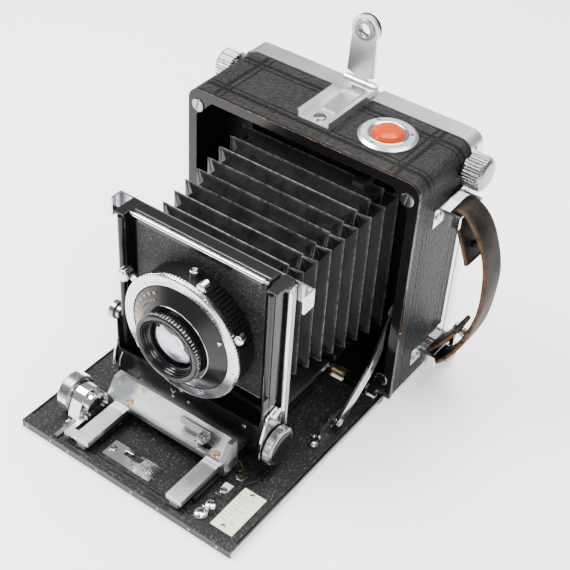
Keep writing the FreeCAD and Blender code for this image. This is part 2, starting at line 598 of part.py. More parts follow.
def make_lens_frame():
    frame = plate("frame_ring", "XZ_Plane", "frame_front", "frame_rear",
                  [rectangle(("-frame_half", "frame_half"), ("frame_low", "frame_high")),
                   rectangle(("-41", "41"), ("56", "123"))])
    pad = block("frame_pad", ("-48", "48"), ("frame_rear - 1", "frame_rear + 0.3"), ("128", "140.5"))
    node(fuse("lens_frame_all", frame, pad), "lens_frame")

    sheet_bar = block("bar_sheet", ("-70.5", "70.5"), ("frame_rear + 0.3", "frame_rear + 1.7"),
                      ("128", "140.5"))
    lugs = [side_block(f"bar_lug_{side}", sign, ("69.1", "70.5"), ("frame_rear - 7.5", "frame_rear + 1.7"),
                       ("128", "140.5")) for side, sign in SIDES]
    node(fuse("bridge_bar_all", sheet_bar, *lugs), "bridge_bar")

    board = plate("board_sheet", "XZ_Plane", "board_front", "frame_front",
                  [rectangle(("-board_half", "board_half"), ("board_low", "board_high"))],
                  [(("0", "lens_z"), "24")])
    node(board, "lens_board")
    clip = fuse("clip_all", block("clip_bar", ("-50", "50"), ("-130.6", "-120"), ("141.3", "143.4")),
                block("clip_lip", ("-45", "45"), ("-130.6", "-129.3"), ("137.6", "142")))
    node(clip, "board_clip")


def make_shutter():
    centre = ("0", "board_front", "lens_z")
    body_long = "board_front - ring_back"
    housing = ring("housing_wall", "y", ("0", "ring_back + 0.2", "lens_z"), "41", "37.5",
                   f"{body_long} - 0.2")
    rear = ring("housing_back", "y", ("0", "board_front - 2", "lens_z"), "41", "20", "2")
    node(fuse("housing_all", housing, rear), "shutter_housing")

    face = turned("face_turned", "y", ("0", "-152", "lens_z"),
                  [("0", "19"), ("0", "25"), ("5.2", "35.2"), ("8.6", "35.2"), ("8.6", "37.3"),
                   ("12", "37.3"),
                   ("12", "19")])
    node(face, "shutter_face")
    rim = ring("speed_ring_metal", "y", ("0", "ring_front", "lens_z"), "ring_radius", "35.6",
               "ring_back - ring_front")
    node(rim, "speed_ring")

    barrel = turned("barrel_turned", "y", ("0", "barrel_front", "lens_z"),
                    [("0", "20"), ("0", "22.2"), ("1", "barrel_radius"), ("4", "barrel_radius"),
                     ("6", "21"),
                     ("7.8", "21"), ("7.8", "18.8"), ("11", "18.8"), ("11", "16.4"), ("5", "17")])
    node(barrel, "lens_barrel")
    node(turned("glass_turned", "y", ("0", "barrel_front + 5.4", "lens_z"),
                [("0", "0"), ("1.8", "16.3"), ("5", "16.3"), ("5", "0")]), "front_glass")
    cell = turned("cell_turned", "y", ("0", "board_front - 2", "lens_z"),
                  [("0", "0"), ("0", "19.9"), ("10", "19.9"), ("14", "16"), ("14", "0")])
    node(cell, "rear_lens_cell")

    blades = []
    for k in range(5):
        blade = rod(f"iris_{k}", "y", ("0", f"-147.4 + {k} * 0.8", "lens_z"), "18.4", "0.5")
        turn = 2 * math.pi * k / 5
        middle = (f"{math.cos(turn):.4f}", "-150", f"lens_z + {math.sin(turn):.4f}")
        hole = rod(f"iris_hole_{k}", "y", middle, "12", "12")
        blades.append(cut(f"blade_{k}", blade, hole))
    node(group("iris_all", *blades), "iris_blades")


def lever_arm(name, turn, inner, outer, wide, y):
    """A radial arm of the shutter, at a clock angle in degrees from +X towards +Z."""
    angle = math.radians(turn)
    along = (math.cos(angle), math.sin(angle))
    across = (-along[1], along[0])

    def corner(reach, offset):
        return (f"{reach * along[0] + offset * across[0]:.3f}",
                f"lens_z + {reach * along[1] + offset * across[1]:.3f}")
    points = [corner(inner, -wide), corner(outer, -0.7 * wide), corner(outer, 0.7 * wide),
              corner(inner, wide)]
    return plate(name, "XZ_Plane", y[0], y[1], [points])


def around(turn, reach):
    """A place on the shutter at a clock angle and a distance from the lens axis."""
    angle = math.radians(turn)
    return f"{reach * math.cos(angle):.3f}", f"lens_z + {reach * math.sin(angle):.3f}"


def make_levers():
    slider = ("-142.9", "-141.4")
    cocking_x, cocking_z = around(72, 49)
    cocking = fuse("cocking_all", lever_arm("cocking_arm", 72, 41.4, 49, 2.6, slider),
                   rod("cocking_tip", "y", (cocking_x, "-146", cocking_z), "2.8", "4.6"))
    node(cocking, "cocking_lever")
    release_x, release_z = around(150, 49.5)
    release = fuse("release_all", lever_arm("release_arm", 150, 41.4, 49.5, 3.2, slider),
                   rod("release_tip", "y", (release_x, "-147", release_z), "4.2", "5.6"))
    node(release, "release_lever")
    pointer_x, pointer_z = around(27, 46.6)
    pointer = fuse("pointer_all", lever_arm("pointer_arm", 27, 41.4, 46.6, 1.8, slider),
                   rod("pointer_ball", "y", (pointer_x, "-144.8", pointer_z), "3", "3.6"))
    node(pointer, "aperture_pointer")


# ---- top of the body: peep sight and release button ----

def make_sight():
    base = [block("sight_sheet", ("-12.1", "12.1"), ("-22", "sight_y + 2"),
                  ("outer_top", "outer_top + 1.4"))]
    for side, sign in SIDES:
        base.append(side_block(f"sight_flange_{side}", sign, ("10.9", "12.1"), ("-22", "sight_y + 2"),
                               ("outer_top", "outer_top + 6")))
    for name, low, high in (("left", "-11.5", "-5"), ("right", "5", "11.5")):
        base.append(rod(f"sight_knuckle_{name}", "x", (low, "sight_y", "sight_z"), "3",
                        f"{high} - ({low})"))
        base.append(block(f"sight_neck_{name}", (low, high), ("sight_y - 2", "sight_y + 2"),
                          ("outer_top", "sight_z")))
    base.append(rod("sight_pin", "x", ("-11.5", "sight_y", "sight_z"), "1.2", "23"))
    node(fuse("sight_base_all", *base), "sight_base")

    arm = plate("sight_arm_sheet", "XZ_Plane", "sight_y - 1.4", "sight_y + 0.6",
                [[("-4.7", "sight_z"), ("4.7", "sight_z"), ("4.7", "sight_z + 5"), ("10", "sight_z + 7"),
                  ("8.6", "sight_z + 37.4"), ("-8.6", "sight_z + 37.4"), ("-10", "sight_z + 7"),
                  ("-4.7", "sight_z + 5")]])
    eye = rod("sight_eye", "y", ("0", "sight_y - 1.4", "sight_z + 37.4"), "9.6", "2")
    knuckle = rod("sight_arm_knuckle", "x", ("-4.7", "sight_y", "sight_z"), "3", "9.4")
    pin_bore = rod("sight_arm_bore", "x", ("-6", "sight_y", "sight_z"), "1.2 + clearance", "12")
    eye_bore = rod("sight_eye_bore", "y", ("0", "sight_y - 3", "sight_z + 37.4"), "6", "6")
    node(cut("sight_arm_cut", fuse("sight_arm_all", arm, eye, knuckle), pin_bore, eye_bore), "sight_arm")
    eyepiece = turned("eyepiece_turned", "y", ("0", "sight_y - 2.6", "sight_z + 37.4"),
                      [("0", "4.4"), ("0", "8"), ("1.2", "8"), ("1.2", "6"), ("4.4", "6"), ("4.4", "1.6"),
                       ("3.4", "1.6")])
    node(eyepiece, "sight_eyepiece")


def make_button():
    at_top = ("button_x", "button_y", "outer_top")
    bezel = turned("bezel_turned", "z", at_top, [("0", "11"), ("0", "bezel_radius"),
                                                 ("1.4", "bezel_radius"),
                                                 ("2.8", "16.6"), ("2.8", "12.4"), ("1.6", "11")])
    node(bezel, "button_bezel")
    dome = turned("button_turned", "z", ("button_x", "button_y", "166.6"),
                  [("0", "0"), ("0", "button_radius"), ("6", "button_radius"), ("7.6", "8.6"), ("8.6", "5"),
                   ("8.9", "0")])
    node(dome, "release_button")
    stem = rod("catch_stem", "z", ("button_x", "-10", "152"), "2", "14.6")
    hook = block("catch_hook", ("38", "45.4"), ("-33", "-8"), ("149", "152.5"))
    node(fuse("catch_all", stem, hook), "bed_catch")
    screws = []
    for k, turn in enumerate((30, 146, 263)):
        angle = math.radians(turn)
        place_x = f"button_x + {14.5 * math.cos(angle):.3f}"
        place_y = f"button_y + {14.5 * math.sin(angle):.3f}"
        screws.append(rod(f"bezel_screw_{k}", "z", (place_x, place_y, "outer_top + 2.8"), "1.7", "0.5"))
    screws.append(rod("sight_screw", "z", ("0", "-15", "outer_top + 1.4"), "3.6", "1.2"))
    return screws


# ---- back ----

def make_lock_knobs():
    for side, sign in SIDES:
        for level, height in (("low", "rod_low"), ("high", "rod_high")):
            start = "lock_in" if sign > 0 else "-lock_out"
            name = f"lock_{side}_{level}"
            radius = "lock_radius" if level == "high" else "lock_small"
            head = knob(name + "_head", "x", (start, "lock_y", height), radius, "lock_out - lock_in", 30)
            stem = side_rod(name + "_stem", sign, ("rod_across + rod_radius + 0.4", "lock_in"), "lock_y",
                            height,
                            "2.5")
            node(fuse(name + "_all", head, stem), f"lock_knob_{side}_{level}")


def make_back():
    frame_front = "shell_rear + 0.3"
    frame = plate("back_ring", "XZ_Plane", frame_front, "back_rear",
                  [rectangle(("-back_half", "back_half"), ("back_low", "back_high")),
                   rectangle(("-glass_half", "glass_half"), ("glass_low", "glass_high"))])
    hinge = [frame]
    for side, sign in SIDES:
        hinge.append(side_rod(f"hood_knuckle_{side}", sign, ("40", "60"), "back_rear + 3", "161", "2.4"))
        hinge.append(side_block(f"hood_neck_{side}", sign, ("40", "60"), ("back_rear - 1", "back_rear + 3"),
                                ("158.6", "163.4")))
    hinge.append(rod("hood_pin", "x", ("-60", "back_rear + 3", "161"), "1", "120"))
    notch = block("sight_notch", ("-12.9", "12.9"), ("shell_rear", "back_rear + 1"),
                  ("169.6", "back_high + 1"))
    corners = corner_cutters("back", "back_half", "back_high", (frame_front, "back_rear"), "outer_corner")
    node(cut("back_cut", fuse("back_all", *hinge), notch, *corners), "back_frame")
    rods = [rod(f"back_rod_{side}_{level}", "y", (f"{sign} * rod_across", "block_front + 0.5", level),
                "rod_radius", "shell_rear + 0.3 - block_front - 0.5")
            for side, sign in SIDES for level in ("rod_low", "rod_high")]
    node(group("rods", *rods), "back_rods")
    node(block("glass_pane", ("-glass_half", "glass_half"), ("back_rear - 8", "back_rear - 6"),
               ("glass_low", "glass_high")), "ground_glass")

    lid = block("lid_sheet", ("-66", "66"), ("back_rear + 0.5", "back_rear + 2.5"), ("10", "157.6"))
    lid_box = block("lid_box", ("-52", "52"), ("back_rear + 2", "back_rear + 8"), ("30", "145"))
    lid_space = block("lid_space", ("-50.5", "50.5"), ("back_rear", "back_rear + 6.5"), ("31.5", "143.5"))
    knuckle = rod("lid_knuckle", "x", ("-39.6", "back_rear + 3", "161"), "2.4", "79.2")
    neck = block("lid_neck", ("-39.6", "39.6"), ("back_rear + 1", "back_rear + 2.6"), ("157", "161"))
    bore = rod("lid_bore", "x", ("-41", "back_rear + 3", "161"), "1 + clearance", "82")
    node(cut("lid_cut", fuse("lid_all", lid, lid_box, knuckle, neck), lid_space, bore), "focusing_hood")


# ---- hand strap ----

def make_handle():
    pieces = []
    screws = []
    for name, height, tilt in (("high", 138, 1), ("low", 25, -1)):
        plate_z = (f"{height} - 6.5", f"{height} + 6.5")
        foot = block(f"handle_foot_{name}", ("outer_half", "outer_half + 2.4"), ("-18", "20"), plate_z)
        yoke = [block(f"handle_cheek_{name}_{k}", ("outer_half + 2", "101"), edges,
                      (f"{height} - 4", f"{height} + 4"))
                for k, edges in enumerate((("-12", "-9.4"), ("13.4", "16")))]
        bar = rod(f"handle_bar_{name}", "y", ("97", "-12", str(height)), "2", "28")
        pieces.append(fuse(f"handle_bracket_{name}", foot, bar, *yoke))
        for k, y in enumerate(("-15", "18")):
            screws.append(rod(f"handle_screw_{name}_{k}", "x",
                              ("outer_half + 2.4", y, f"{height} + {tilt}"),
                              "1.8", "0.8"))
    node(group("brackets_of_strap", *pieces), "handle_brackets")

    def bow(offset):
        top = FreeCAD.Vector(97 + offset * 0.5, 0, 138 + offset * 0.9)
        middle = FreeCAD.Vector(120.5 + offset, 0, 88)
        bottom = FreeCAD.Vector(97 + offset * 0.5, 0, 25 - offset * 0.9)
        return Part.Arc(top, middle, bottom).toShape()
    outer = bow(4)
    inner = bow(-1)
    ends = [Part.makeLine(outer.Vertexes[k].Point, inner.Vertexes[k].Point) for k in (0, 1)]
    face = Part.Face(Part.Wire([outer, ends[1], inner.reversed(), ends[0]]))
    front = sheet.get("strap_front")
    band = face.extrude(FreeCAD.Vector(0, sheet.get("strap_rear") - front, 0))
    band.translate(FreeCAD.Vector(0, front, 0))
    across = FreeCAD.Vector(0, 1, 0)
    for height in (138, 25):
        start = FreeCAD.Vector(97, front, height)
        band = band.fuse(Part.makeCylinder(5, sheet.get("strap_rear") - front, start, across))
    for height in (138, 25):
        start = FreeCAD.Vector(97, front - 1, height)
        band = band.cut(Part.makeCylinder(2, sheet.get("strap_rear") - front + 2, start, across))
    strap = doc.addObject("Part::Feature", "strap_band")
    strap.Shape = band.removeSplitter()
    strap.Placement = FreeCAD.Placement()
    node(strap, "handle_strap")
    return screws


make_body()
rim_screws = make_front_frame()
make_bellows()
make_struts()
make_bed()
make_bed_fittings()
make_focus_drive()
make_carriage()
make_standard()
make_lens_frame()
make_shutter()
make_levers()
make_sight()
top_screws = make_button()
make_lock_knobs()
make_back()
side_screws = make_handle()
node(group("body_screw_heads", *rim_screws, *top_screws, *side_screws), "body_screws")

doc.recompute()
failed = [thing.Name for thing in doc.Objects if "Invalid" in thing.State or "Error" in thing.State]
failed += [thing.Label for thing in NODES if thing.Shape.isNull() or not thing.Shape.isValid()]
if failed:
    raise SystemExit("These pieces failed: " + ", ".join(failed))

os.makedirs("parts", exist_ok=True)
for thing in NODES:
    thing.Shape.exportStep(f"parts/{thing.Label}.step")
print(f"{len(NODES)} nodes written")
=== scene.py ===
from math import asin, cos, pi, radians, sin

import bmesh
import bpy
from mathutils import Matrix, Vector


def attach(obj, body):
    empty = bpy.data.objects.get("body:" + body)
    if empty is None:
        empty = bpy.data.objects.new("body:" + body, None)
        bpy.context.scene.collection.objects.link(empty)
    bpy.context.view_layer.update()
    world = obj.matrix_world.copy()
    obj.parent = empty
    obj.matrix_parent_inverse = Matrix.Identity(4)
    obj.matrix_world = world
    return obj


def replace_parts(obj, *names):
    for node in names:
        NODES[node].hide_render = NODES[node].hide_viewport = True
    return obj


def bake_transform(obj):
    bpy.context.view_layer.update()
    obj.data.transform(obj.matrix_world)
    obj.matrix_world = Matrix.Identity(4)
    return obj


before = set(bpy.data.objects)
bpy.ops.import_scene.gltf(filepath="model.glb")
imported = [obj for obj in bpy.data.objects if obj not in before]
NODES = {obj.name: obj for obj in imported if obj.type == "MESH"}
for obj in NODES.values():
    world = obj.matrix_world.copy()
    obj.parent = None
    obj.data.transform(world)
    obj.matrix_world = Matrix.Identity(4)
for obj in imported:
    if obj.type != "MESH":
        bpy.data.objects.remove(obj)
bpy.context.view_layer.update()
MM = 0.001
link = bpy.context.scene.collection.objects.link

# ---- directions, and places of the CAD nodes that several pieces share, in millimetres ----

UP = (0, 0, 1)
FRONT = (0, -1, 0)
REAR = (0, 1, 0)
RIGHT = (1, 0, 0)
SIDES = (("l", -1), ("r", 1))


def span_of(name):
    """The lowest and highest corner of a CAD node at rest."""
    places = [NODES[name].matrix_world @ v.co / MM for v in NODES[name].data.vertices]
    return [[round(pick(p[k] for p in places), 2) for k in range(3)] for pick in (min, max)]


def centre_of(name):
    return [round((low + high) / 2, 2) for low, high in zip(*span_of(name))]


BED_TOP = span_of("bed_leather")[1][2]
PLATE_TOP = BED_TOP + 1.2
HINGE_Y, HINGE_Z = centre_of("bed_hinge_rod")[1:]
FOCUS_AXLE = centre_of("focus_knob")[1:]
SHIFT_AXLE = centre_of("shift_knob")[1:]
RAIL_OUTER, _, RAIL_TOP = span_of("focus_rails")[1]
RAIL_INNER = RAIL_OUTER - 11.3
LENS_Z = centre_of("front_glass")[2]
DIAL_FACE = span_of("speed_ring")[0][1]
BARREL_FACE = span_of("lens_barrel")[0][1]
PANEL_FACE = span_of("standard_frame")[0][1]
RELEASE_X, RELEASE_Y = centre_of("release_button")[:2]
SIGHT_EYE_Z = centre_of("sight_eyepiece")[2]


# ---- materials: a small kit, then one function for each finish ----

class Finish:
    """A material being built: a Principled shader and the nodes that feed it."""

    def __init__(self, name, metallic=0.0, roughness=0.5, **uniform):
        self.material = bpy.data.materials.new(name)
        self.material.use_nodes = True
        self.tree = self.material.node_tree
        self.shader = self.tree.nodes["Principled BSDF"]
        self.shader.inputs["Metallic"].default_value = metallic
        self.shader.inputs["Roughness"].default_value = roughness
        for socket, value in uniform.items():
            self.shader.inputs[socket.replace("_", " ")].default_value = value
        self.place = self.add("TexCoord").outputs["Object"]
        self.normal = None

    def add(self, kind, inputs=None, **settings):
        """A new node with its settings and the values or links of its inputs."""
        made = self.tree.nodes.new("ShaderNode" + kind)
        for key, value in settings.items():
            setattr(made, key, value)
        for socket, value in (inputs or {}).items():
            self.put(made.inputs[socket], value)
        return made

    def put(self, socket, value):
        """Feeds a socket from another one, or sets its value."""
        if isinstance(value, bpy.types.NodeSocket):
            self.tree.links.new(value, socket)
        else:
            socket.default_value = value

    def noise(self, size, detail=3.0, rough=0.55, stretch=(1, 1, 1)):
        """Soft random pattern; size is a blotch's width in millimetres."""
        scale = [k / (size * MM) for k in stretch]
        mapping = self.add("Mapping", {"Scale": scale, "Vector": self.place})
        made = self.add("TexNoise", {"Scale": 1.0, "Detail": detail, "Roughness": rough,
                                     "Vector": mapping.outputs["Vector"]})
        return made.outputs["Fac"]

    def cells(self, size):
        """Pebbled pattern; size is a pebble's width in millimetres."""
        made = self.add("TexVoronoi", {"Scale": 1 / (size * MM), "Vector": self.place})
        return made.outputs["Distance"]

    def span(self, value, low, high, to_low=0.0, to_high=1.0):
        """Maps low..high onto to_low..to_high and clamps what lies outside."""
        made = self.add("MapRange", {"Value": value, "From Min": low, "From Max": high,
                                     "To Min": to_low, "To Max": to_high})
        return made.outputs["Result"]

    def maths(self, operation, first, second=0.0):
        return self.add("Math", {0: first, 1: second}, operation=operation).outputs["Value"]

    def times(self, first, second):
        return self.maths("MULTIPLY", first, second)

    def colour(self, factor, dark, light):
        tones = [(*tone, 1) if isinstance(tone, tuple) else tone for tone in (dark, light)]
        made = self.add("Mix", {"Factor": factor, 6: tones[0], 7: tones[1]}, data_type="RGBA")
        return made.outputs[2]

    def axis(self, letter):
        return self.add("SeparateXYZ", {"Vector": self.place}).outputs[letter]

    def rounded(self, radius=0.35):
        """Softens every hard edge in the shading, as a real edge is broken."""
        made = self.add("Bevel", {"Radius": radius * MM}, samples=4)
        self.normal = made.outputs["Normal"]
        return self

    def edges(self, radius=0.7):
        """1 along convex and concave edges, 0 on flats."""
        bevel = self.add("Bevel", {"Radius": radius * MM}, samples=4)
        flat = self.add("NewGeometry")
        made = self.add("VectorMath", {0: bevel.outputs["Normal"], 1: flat.outputs["Normal"]},
                        operation="DOT_PRODUCT")
        return self.span(made.outputs["Value"], 0.995, 0.90)

    def bump(self, height, depth, strength=1.0):
        made = self.add("Bump", {"Strength": strength, "Distance": depth * MM, "Height": height})
        if self.normal:
            self.put(made.inputs["Normal"], self.normal)
        self.normal = made.outputs["Normal"]
        return self

    def done(self, base=None, roughness=None, metallic=None):
        for socket, value in (("Base Color", base), ("Roughness", roughness), ("Metallic", metallic)):
            if isinstance(value, tuple):
                value = (*value, 1)
            if value is not None:
                self.put(self.shader.inputs[socket], value)
        if self.normal:
            self.put(self.shader.inputs["Normal"], self.normal)
        return self.material


COPPER = (0.42, 0.17, 0.075)
BARE = (0.55, 0.53, 0.5)


def black_enamel(name="black_enamel", wear=0.5, roughness=0.16, worn=COPPER, shine=0.36):
    """Glossy black stove enamel, rubbed through to metal along its edges."""
    f = Finish(name, roughness=roughness, Specular_IOR_Level=shine)
    f.rounded(0.4)
    chips = f.times(f.edges(0.5), f.span(f.noise(5.0, 6, 0.7), 0.62 - 0.12 * wear, 0.66))
    dust = f.span(f.noise(0.9, 4, 0.7), 0.66, 0.74)
    base = f.colour(f.times(dust, 0.25), (0.006, 0.006, 0.007), (0.07, 0.07, 0.07))
    f.bump(f.noise(2.2, 2), 0.004)
    return f.done(f.colour(chips, base, worn), f.span(f.noise(14, 2), 0.3, 0.75, roughness * 0.9,
                                                      roughness * 1.25), chips)


def crackle_paint(name="crackle_paint", size=0.95, glint_tone=0.12, shine=0.36):
    """Black wrinkle enamel: a fine pebbled crust whose tops are painted lighter as glints."""
    f = Finish(name, roughness=shine, Specular_IOR_Level=0.24)
    crust = f.maths("ADD", f.noise(size, 3, 0.6), f.times(f.cells(size * 1.5), 0.35))
    painted_glint_mask = f.span(crust, 0.76, 0.98)
    # the crust tops get a lighter colour: painted glints, standing in for light caught on the pebbles
    base = f.colour(painted_glint_mask, (0.007, 0.007, 0.007), (glint_tone, glint_tone, glint_tone * 0.97))
    f.bump(crust, 0.22, 0.9)
    return f.done(base, f.span(f.noise(20, 4), 0.3, 0.7, shine * 0.8, shine * 1.4))


def tooled_leather():
    """Fine-grained black leather with pairs of pressed lines along the edges of each face."""
    f = Finish("tooled_leather", roughness=0.42, Specular_IOR_Level=0.13)
    grain = f.maths("ADD", f.times(f.cells(2.0), 1.0), f.noise(1.1, 3))
    across = f.maths("ABSOLUTE", f.axis("X"))
    along = f.axis("Y")
    height = f.axis("Z")

    def line(value, at, width=0.35):
        """1 on a pressed line that lies at a level, in millimetres."""
        away = f.maths("ABSOLUTE", f.maths("SUBTRACT", value, at * MM))
        return f.span(away, width * MM, width * 2 * MM, 1.0, 0.0)
    pressed = 0.0
    for at in (-25.5, -24, -20.5, 10, 13.5, 15):
        pressed = f.maths("MAXIMUM", pressed, line(along, at))
    on_top = f.span(height, 168.6 * MM, 169.2 * MM)
    for at in (61.5, 65.5, 67):
        pressed = f.maths("MAXIMUM", pressed, f.times(on_top, line(across, at)))
    on_side = f.span(across, 83.4 * MM, 84.0 * MM)
    for at in (12, 15, 154.5, 157.5):
        pressed = f.maths("MAXIMUM", pressed, f.times(on_side, line(height, at)))
    f.bump(f.maths("SUBTRACT", grain, f.times(pressed, 2.0)), 0.5, 1.0)
    rubbed = f.times(f.edges(1.6), f.span(f.noise(7, 6, 0.7), 0.5, 0.62))
    base = f.colour(f.span(f.noise(25, 5), 0.35, 0.7), (0.003, 0.003, 0.003), (0.009, 0.009, 0.009))
    base = f.colour(f.span(grain, 0.6, 1.3, 0.0, 0.7), base, (0.024, 0.023, 0.022))
    # the pressed lines are also painted darker: painted shade in the grooves
    base = f.colour(f.times(pressed, 0.9), base, (0.002, 0.002, 0.002))
    base = f.colour(f.times(rubbed, 0.5), base, (0.20, 0.13, 0.09))
    return f.done(base, f.span(grain, 0.3, 1.2, 0.28, 0.5))


def bellows_cloth():
    """Thin black leather cloth; its proud folds are painted paler, partly as rubbing wear and partly as a
    painted highlight along the ridges.
    """
    f = Finish("bellows_cloth", roughness=0.5, Specular_IOR_Level=0.15)
    fold = f.add("Attribute", attribute_name="fold").outputs["Fac"]
    streak = f.noise(9, 5, 0.65, (1, 1, 0.4))
    grain = f.noise(0.45, 3)
    base = f.colour(f.span(streak, 0.35, 0.75), (0.003, 0.003, 0.0035), (0.012, 0.012, 0.013))
    # rubbed: the paler fold colour, partly wear and partly a painted highlight where the proud ridges
    # catch the light
    rubbed = f.times(fold, f.span(f.noise(3, 4), 0.30, 0.62))
    f.bump(f.maths("ADD", grain, f.times(f.noise(6, 4), 2.0)), 0.12, 0.8)
    return f.done(f.colour(rubbed, base, (0.17, 0.167, 0.163)), f.span(streak, 0.3, 0.8, 0.36, 0.6))


def strap_leather():
    """Old black strap leather, worn brown along its edges and in long streaks."""
    f = Finish("strap_leather_worn", roughness=0.5, Specular_IOR_Level=0.07)
    edge = f.add("Attribute", attribute_name="edge").outputs["Fac"]
    scuffs = f.span(f.noise(4, 7, 0.72, (1, 1, 0.3)), 0.52, 0.66)
    rubbed = f.maths("MAXIMUM", f.times(edge, f.span(f.noise(5, 5, 0.7), 0.36, 0.52)),
                     f.times(scuffs, 0.10))
    base = f.colour(f.span(f.noise(12, 4), 0.3, 0.7), (0.007, 0.0062, 0.0055), (0.024, 0.020, 0.017))
    brown = f.colour(f.noise(3, 4), (0.06, 0.03, 0.016), (0.20, 0.115, 0.07))
    f.bump(f.maths("ADD", f.noise(0.7, 4), f.times(f.cells(1.4), 0.4)), 0.14, 0.8)
    return f.done(f.colour(rubbed, base, brown), f.span(rubbed, 0, 1, 0.44, 0.66))


def metal(name, base, roughness, grain=(1, 1, 1), stain=0.2, stained=(0.2, 0.17, 0.13), wear=0.06):
    """Bare or plated metal with fine brushing, uneven polish and a little tarnish."""
    f = Finish(name, metallic=1.0, roughness=roughness)
    brushed = f.noise(0.4, 4, 0.6, grain)
    cloudy = f.span(f.noise(16, 2, 0.5), 0.3, 0.75)
    tarnish = f.times(f.span(f.noise(4.5, 7, 0.72), 0.60, 0.74), stain)
    tone = f.colour(cloudy, base, tuple(min(1.0, k * 1.06) for k in base))
    f.bump(brushed, 0.0005, 0.4)
    return f.done(f.colour(tarnish, tone, stained),
                  f.span(f.maths("ADD", f.times(brushed, 0.4), cloudy), 0.2, 1.3,
                         roughness * 0.94, roughness + wear * 0.5))


def orange_plastic():
    """Deep orange moulded plastic, nearly smooth."""
    f = Finish("orange_button", roughness=0.14, Specular_IOR_Level=0.18)
    base = f.colour(f.noise(6, 4), (0.38, 0.030, 0.001), (0.48, 0.050, 0.002))
    return f.done(base, f.span(f.noise(2, 5), 0.3, 0.8, 0.10, 0.26))


def lens_glass():
    """Clear glass with a trace of haze."""
    f = Finish("coated_glass", roughness=0.02, IOR=1.52, Transmission_Weight=1.0)
    haze = f.span(f.noise(9, 5), 0.45, 0.8, 0.01, 0.05)
    return f.done((0.93, 0.95, 1.0), haze)


def frosted_glass():
    """Glass ground matt on one side."""
    f = Finish("ground_glass_frosted", roughness=0.55, IOR=1.5, Transmission_Weight=0.6)
    f.bump(f.noise(0.3, 3), 0.02)
    return f.done(f.colour(f.noise(30, 3), (0.70, 0.73, 0.72), (0.80, 0.82, 0.81)))


def ivory():
    """A yellowed celluloid plate."""
    f = Finish("ivory_tag", roughness=0.36, Subsurface_Weight=0.05)
    base = f.colour(f.noise(7, 5), (0.74, 0.69, 0.50), (0.83, 0.80, 0.64))
    return f.done(base, f.span(f.noise(4, 4), 0.3, 0.7, 0.28, 0.45))


def ink(name, tone, roughness=0.5):
    """Marks and numbers, slightly uneven as if filled in by hand."""
    f = Finish(name, roughness=roughness)
    return f.done(f.colour(f.noise(1.4, 4), tuple(k * 0.7 for k in tone), tone))


BLACK = black_enamel()
BLACK_DULL = black_enamel("black_enamel_dull", wear=0.2, roughness=0.38, worn=BARE, shine=0.18)
RIM = black_enamel("rim_enamel", wear=1.5, roughness=0.2, worn=COPPER, shine=0.3)
CRACKLE = crackle_paint()
BOARD_CRACKLE = crackle_paint("board_crackle", 0.55, 0.24, 0.34)
LEATHER = tooled_leather()
CLOTH = bellows_cloth()
STRAP = strap_leather()
ALUMINIUM = metal("brushed_aluminium", (0.56, 0.57, 0.58), 0.30, (1, 0.06, 1), stain=0.05)
BRIGHT = metal("bright_aluminium", (0.76, 0.765, 0.77), 0.30, (1, 0.3, 1), stain=0.02)
SILVERED = metal("silvered_glass", (0.60, 0.61, 0.64), 0.07, stain=0.0, wear=0.02)
CHROME = metal("worn_chrome", (0.68, 0.69, 0.71), 0.12, stain=0.06, wear=0.03)
NICKEL = metal("worn_nickel", (0.31, 0.305, 0.295), 0.24, stain=0.2, wear=0.06)
STEEL = metal("plain_steel", (0.34, 0.34, 0.35), 0.34, stain=0.3)
BRASS = metal("aged_brass", (0.60, 0.40, 0.17), 0.28, stain=0.5, stained=(0.22, 0.12, 0.05))
BUTTON = orange_plastic()
GLASS = lens_glass()
SCREEN = frosted_glass()
IVORY = ivory()
WHITE_INK = ink("white_ink", (0.80, 0.80, 0.78))
BLACK_INK = ink("black_ink", (0.03, 0.03, 0.03))

LOCK_KNOBS = [f"lock_knob_{side}_{level}" for side in ("left", "right") for level in ("low", "high")]
FINISHES = {
    RIM: ("front_frame",),
    BLACK: ("bed_plate", "board_clip", "bed_tripod_bush", "standard_frame", "shutter_face",
            "lens_barrel"),
    BLACK_DULL: ("body_shell", "bellows_rear_frame", "rail_guides", "lens_frame", "shutter_housing",
                 "rear_lens_cell", "focusing_hood", "iris_blades"),
    CRACKLE: ("bed_leather",), BOARD_CRACKLE: ("lens_board",), LEATHER: ("body_leather",),
    ALUMINIUM: ("carriage_channel",),
    BRIGHT: ("focus_rails", "back_frame", "sight_arm", "sight_base", "button_bezel"),
    CHROME: ("latch_plate", "bed_brackets", "infinity_stop", "guide_rods", "bridge_bar", "speed_ring",
             "cocking_lever", "release_lever", "aperture_pointer", "handle_brackets", "strut_left",
             "strut_right"),
    NICKEL: ("body_screws", "bed_screws", "focus_lock", "focus_knob", "carriage_lock", "shift_knob",
             "rise_lock", *LOCK_KNOBS),
    STEEL: ("sight_eyepiece", "body_tripod_socket", "bed_hinge_rod", "strut_studs", "bed_catch",
            "back_rods", "focus_shaft"),
    BRASS: ("shift_screw",),
    BUTTON: ("release_button",), GLASS: ("front_glass",), SCREEN: ("ground_glass",),
    CLOTH: ("bellows",), STRAP: ("handle_strap",),
}
for finish, names in FINISHES.items():
    for name in names:
        NODES[name].data.materials.clear()
        NODES[name].data.materials.append(finish)


# ---- mesh helpers: all sizes in millimetres, placed in the shared frame ----

def piece(name, mesh_points, faces, finish, body, smooth=False):
    """A new mesh piece in its finish that moves with a body."""
    mesh = bpy.data.meshes.new(name)
    mesh.from_pydata([Vector(p) * MM for p in mesh_points], [], faces)
    mesh.update()
    return adopt(name, mesh, finish, body, smooth)


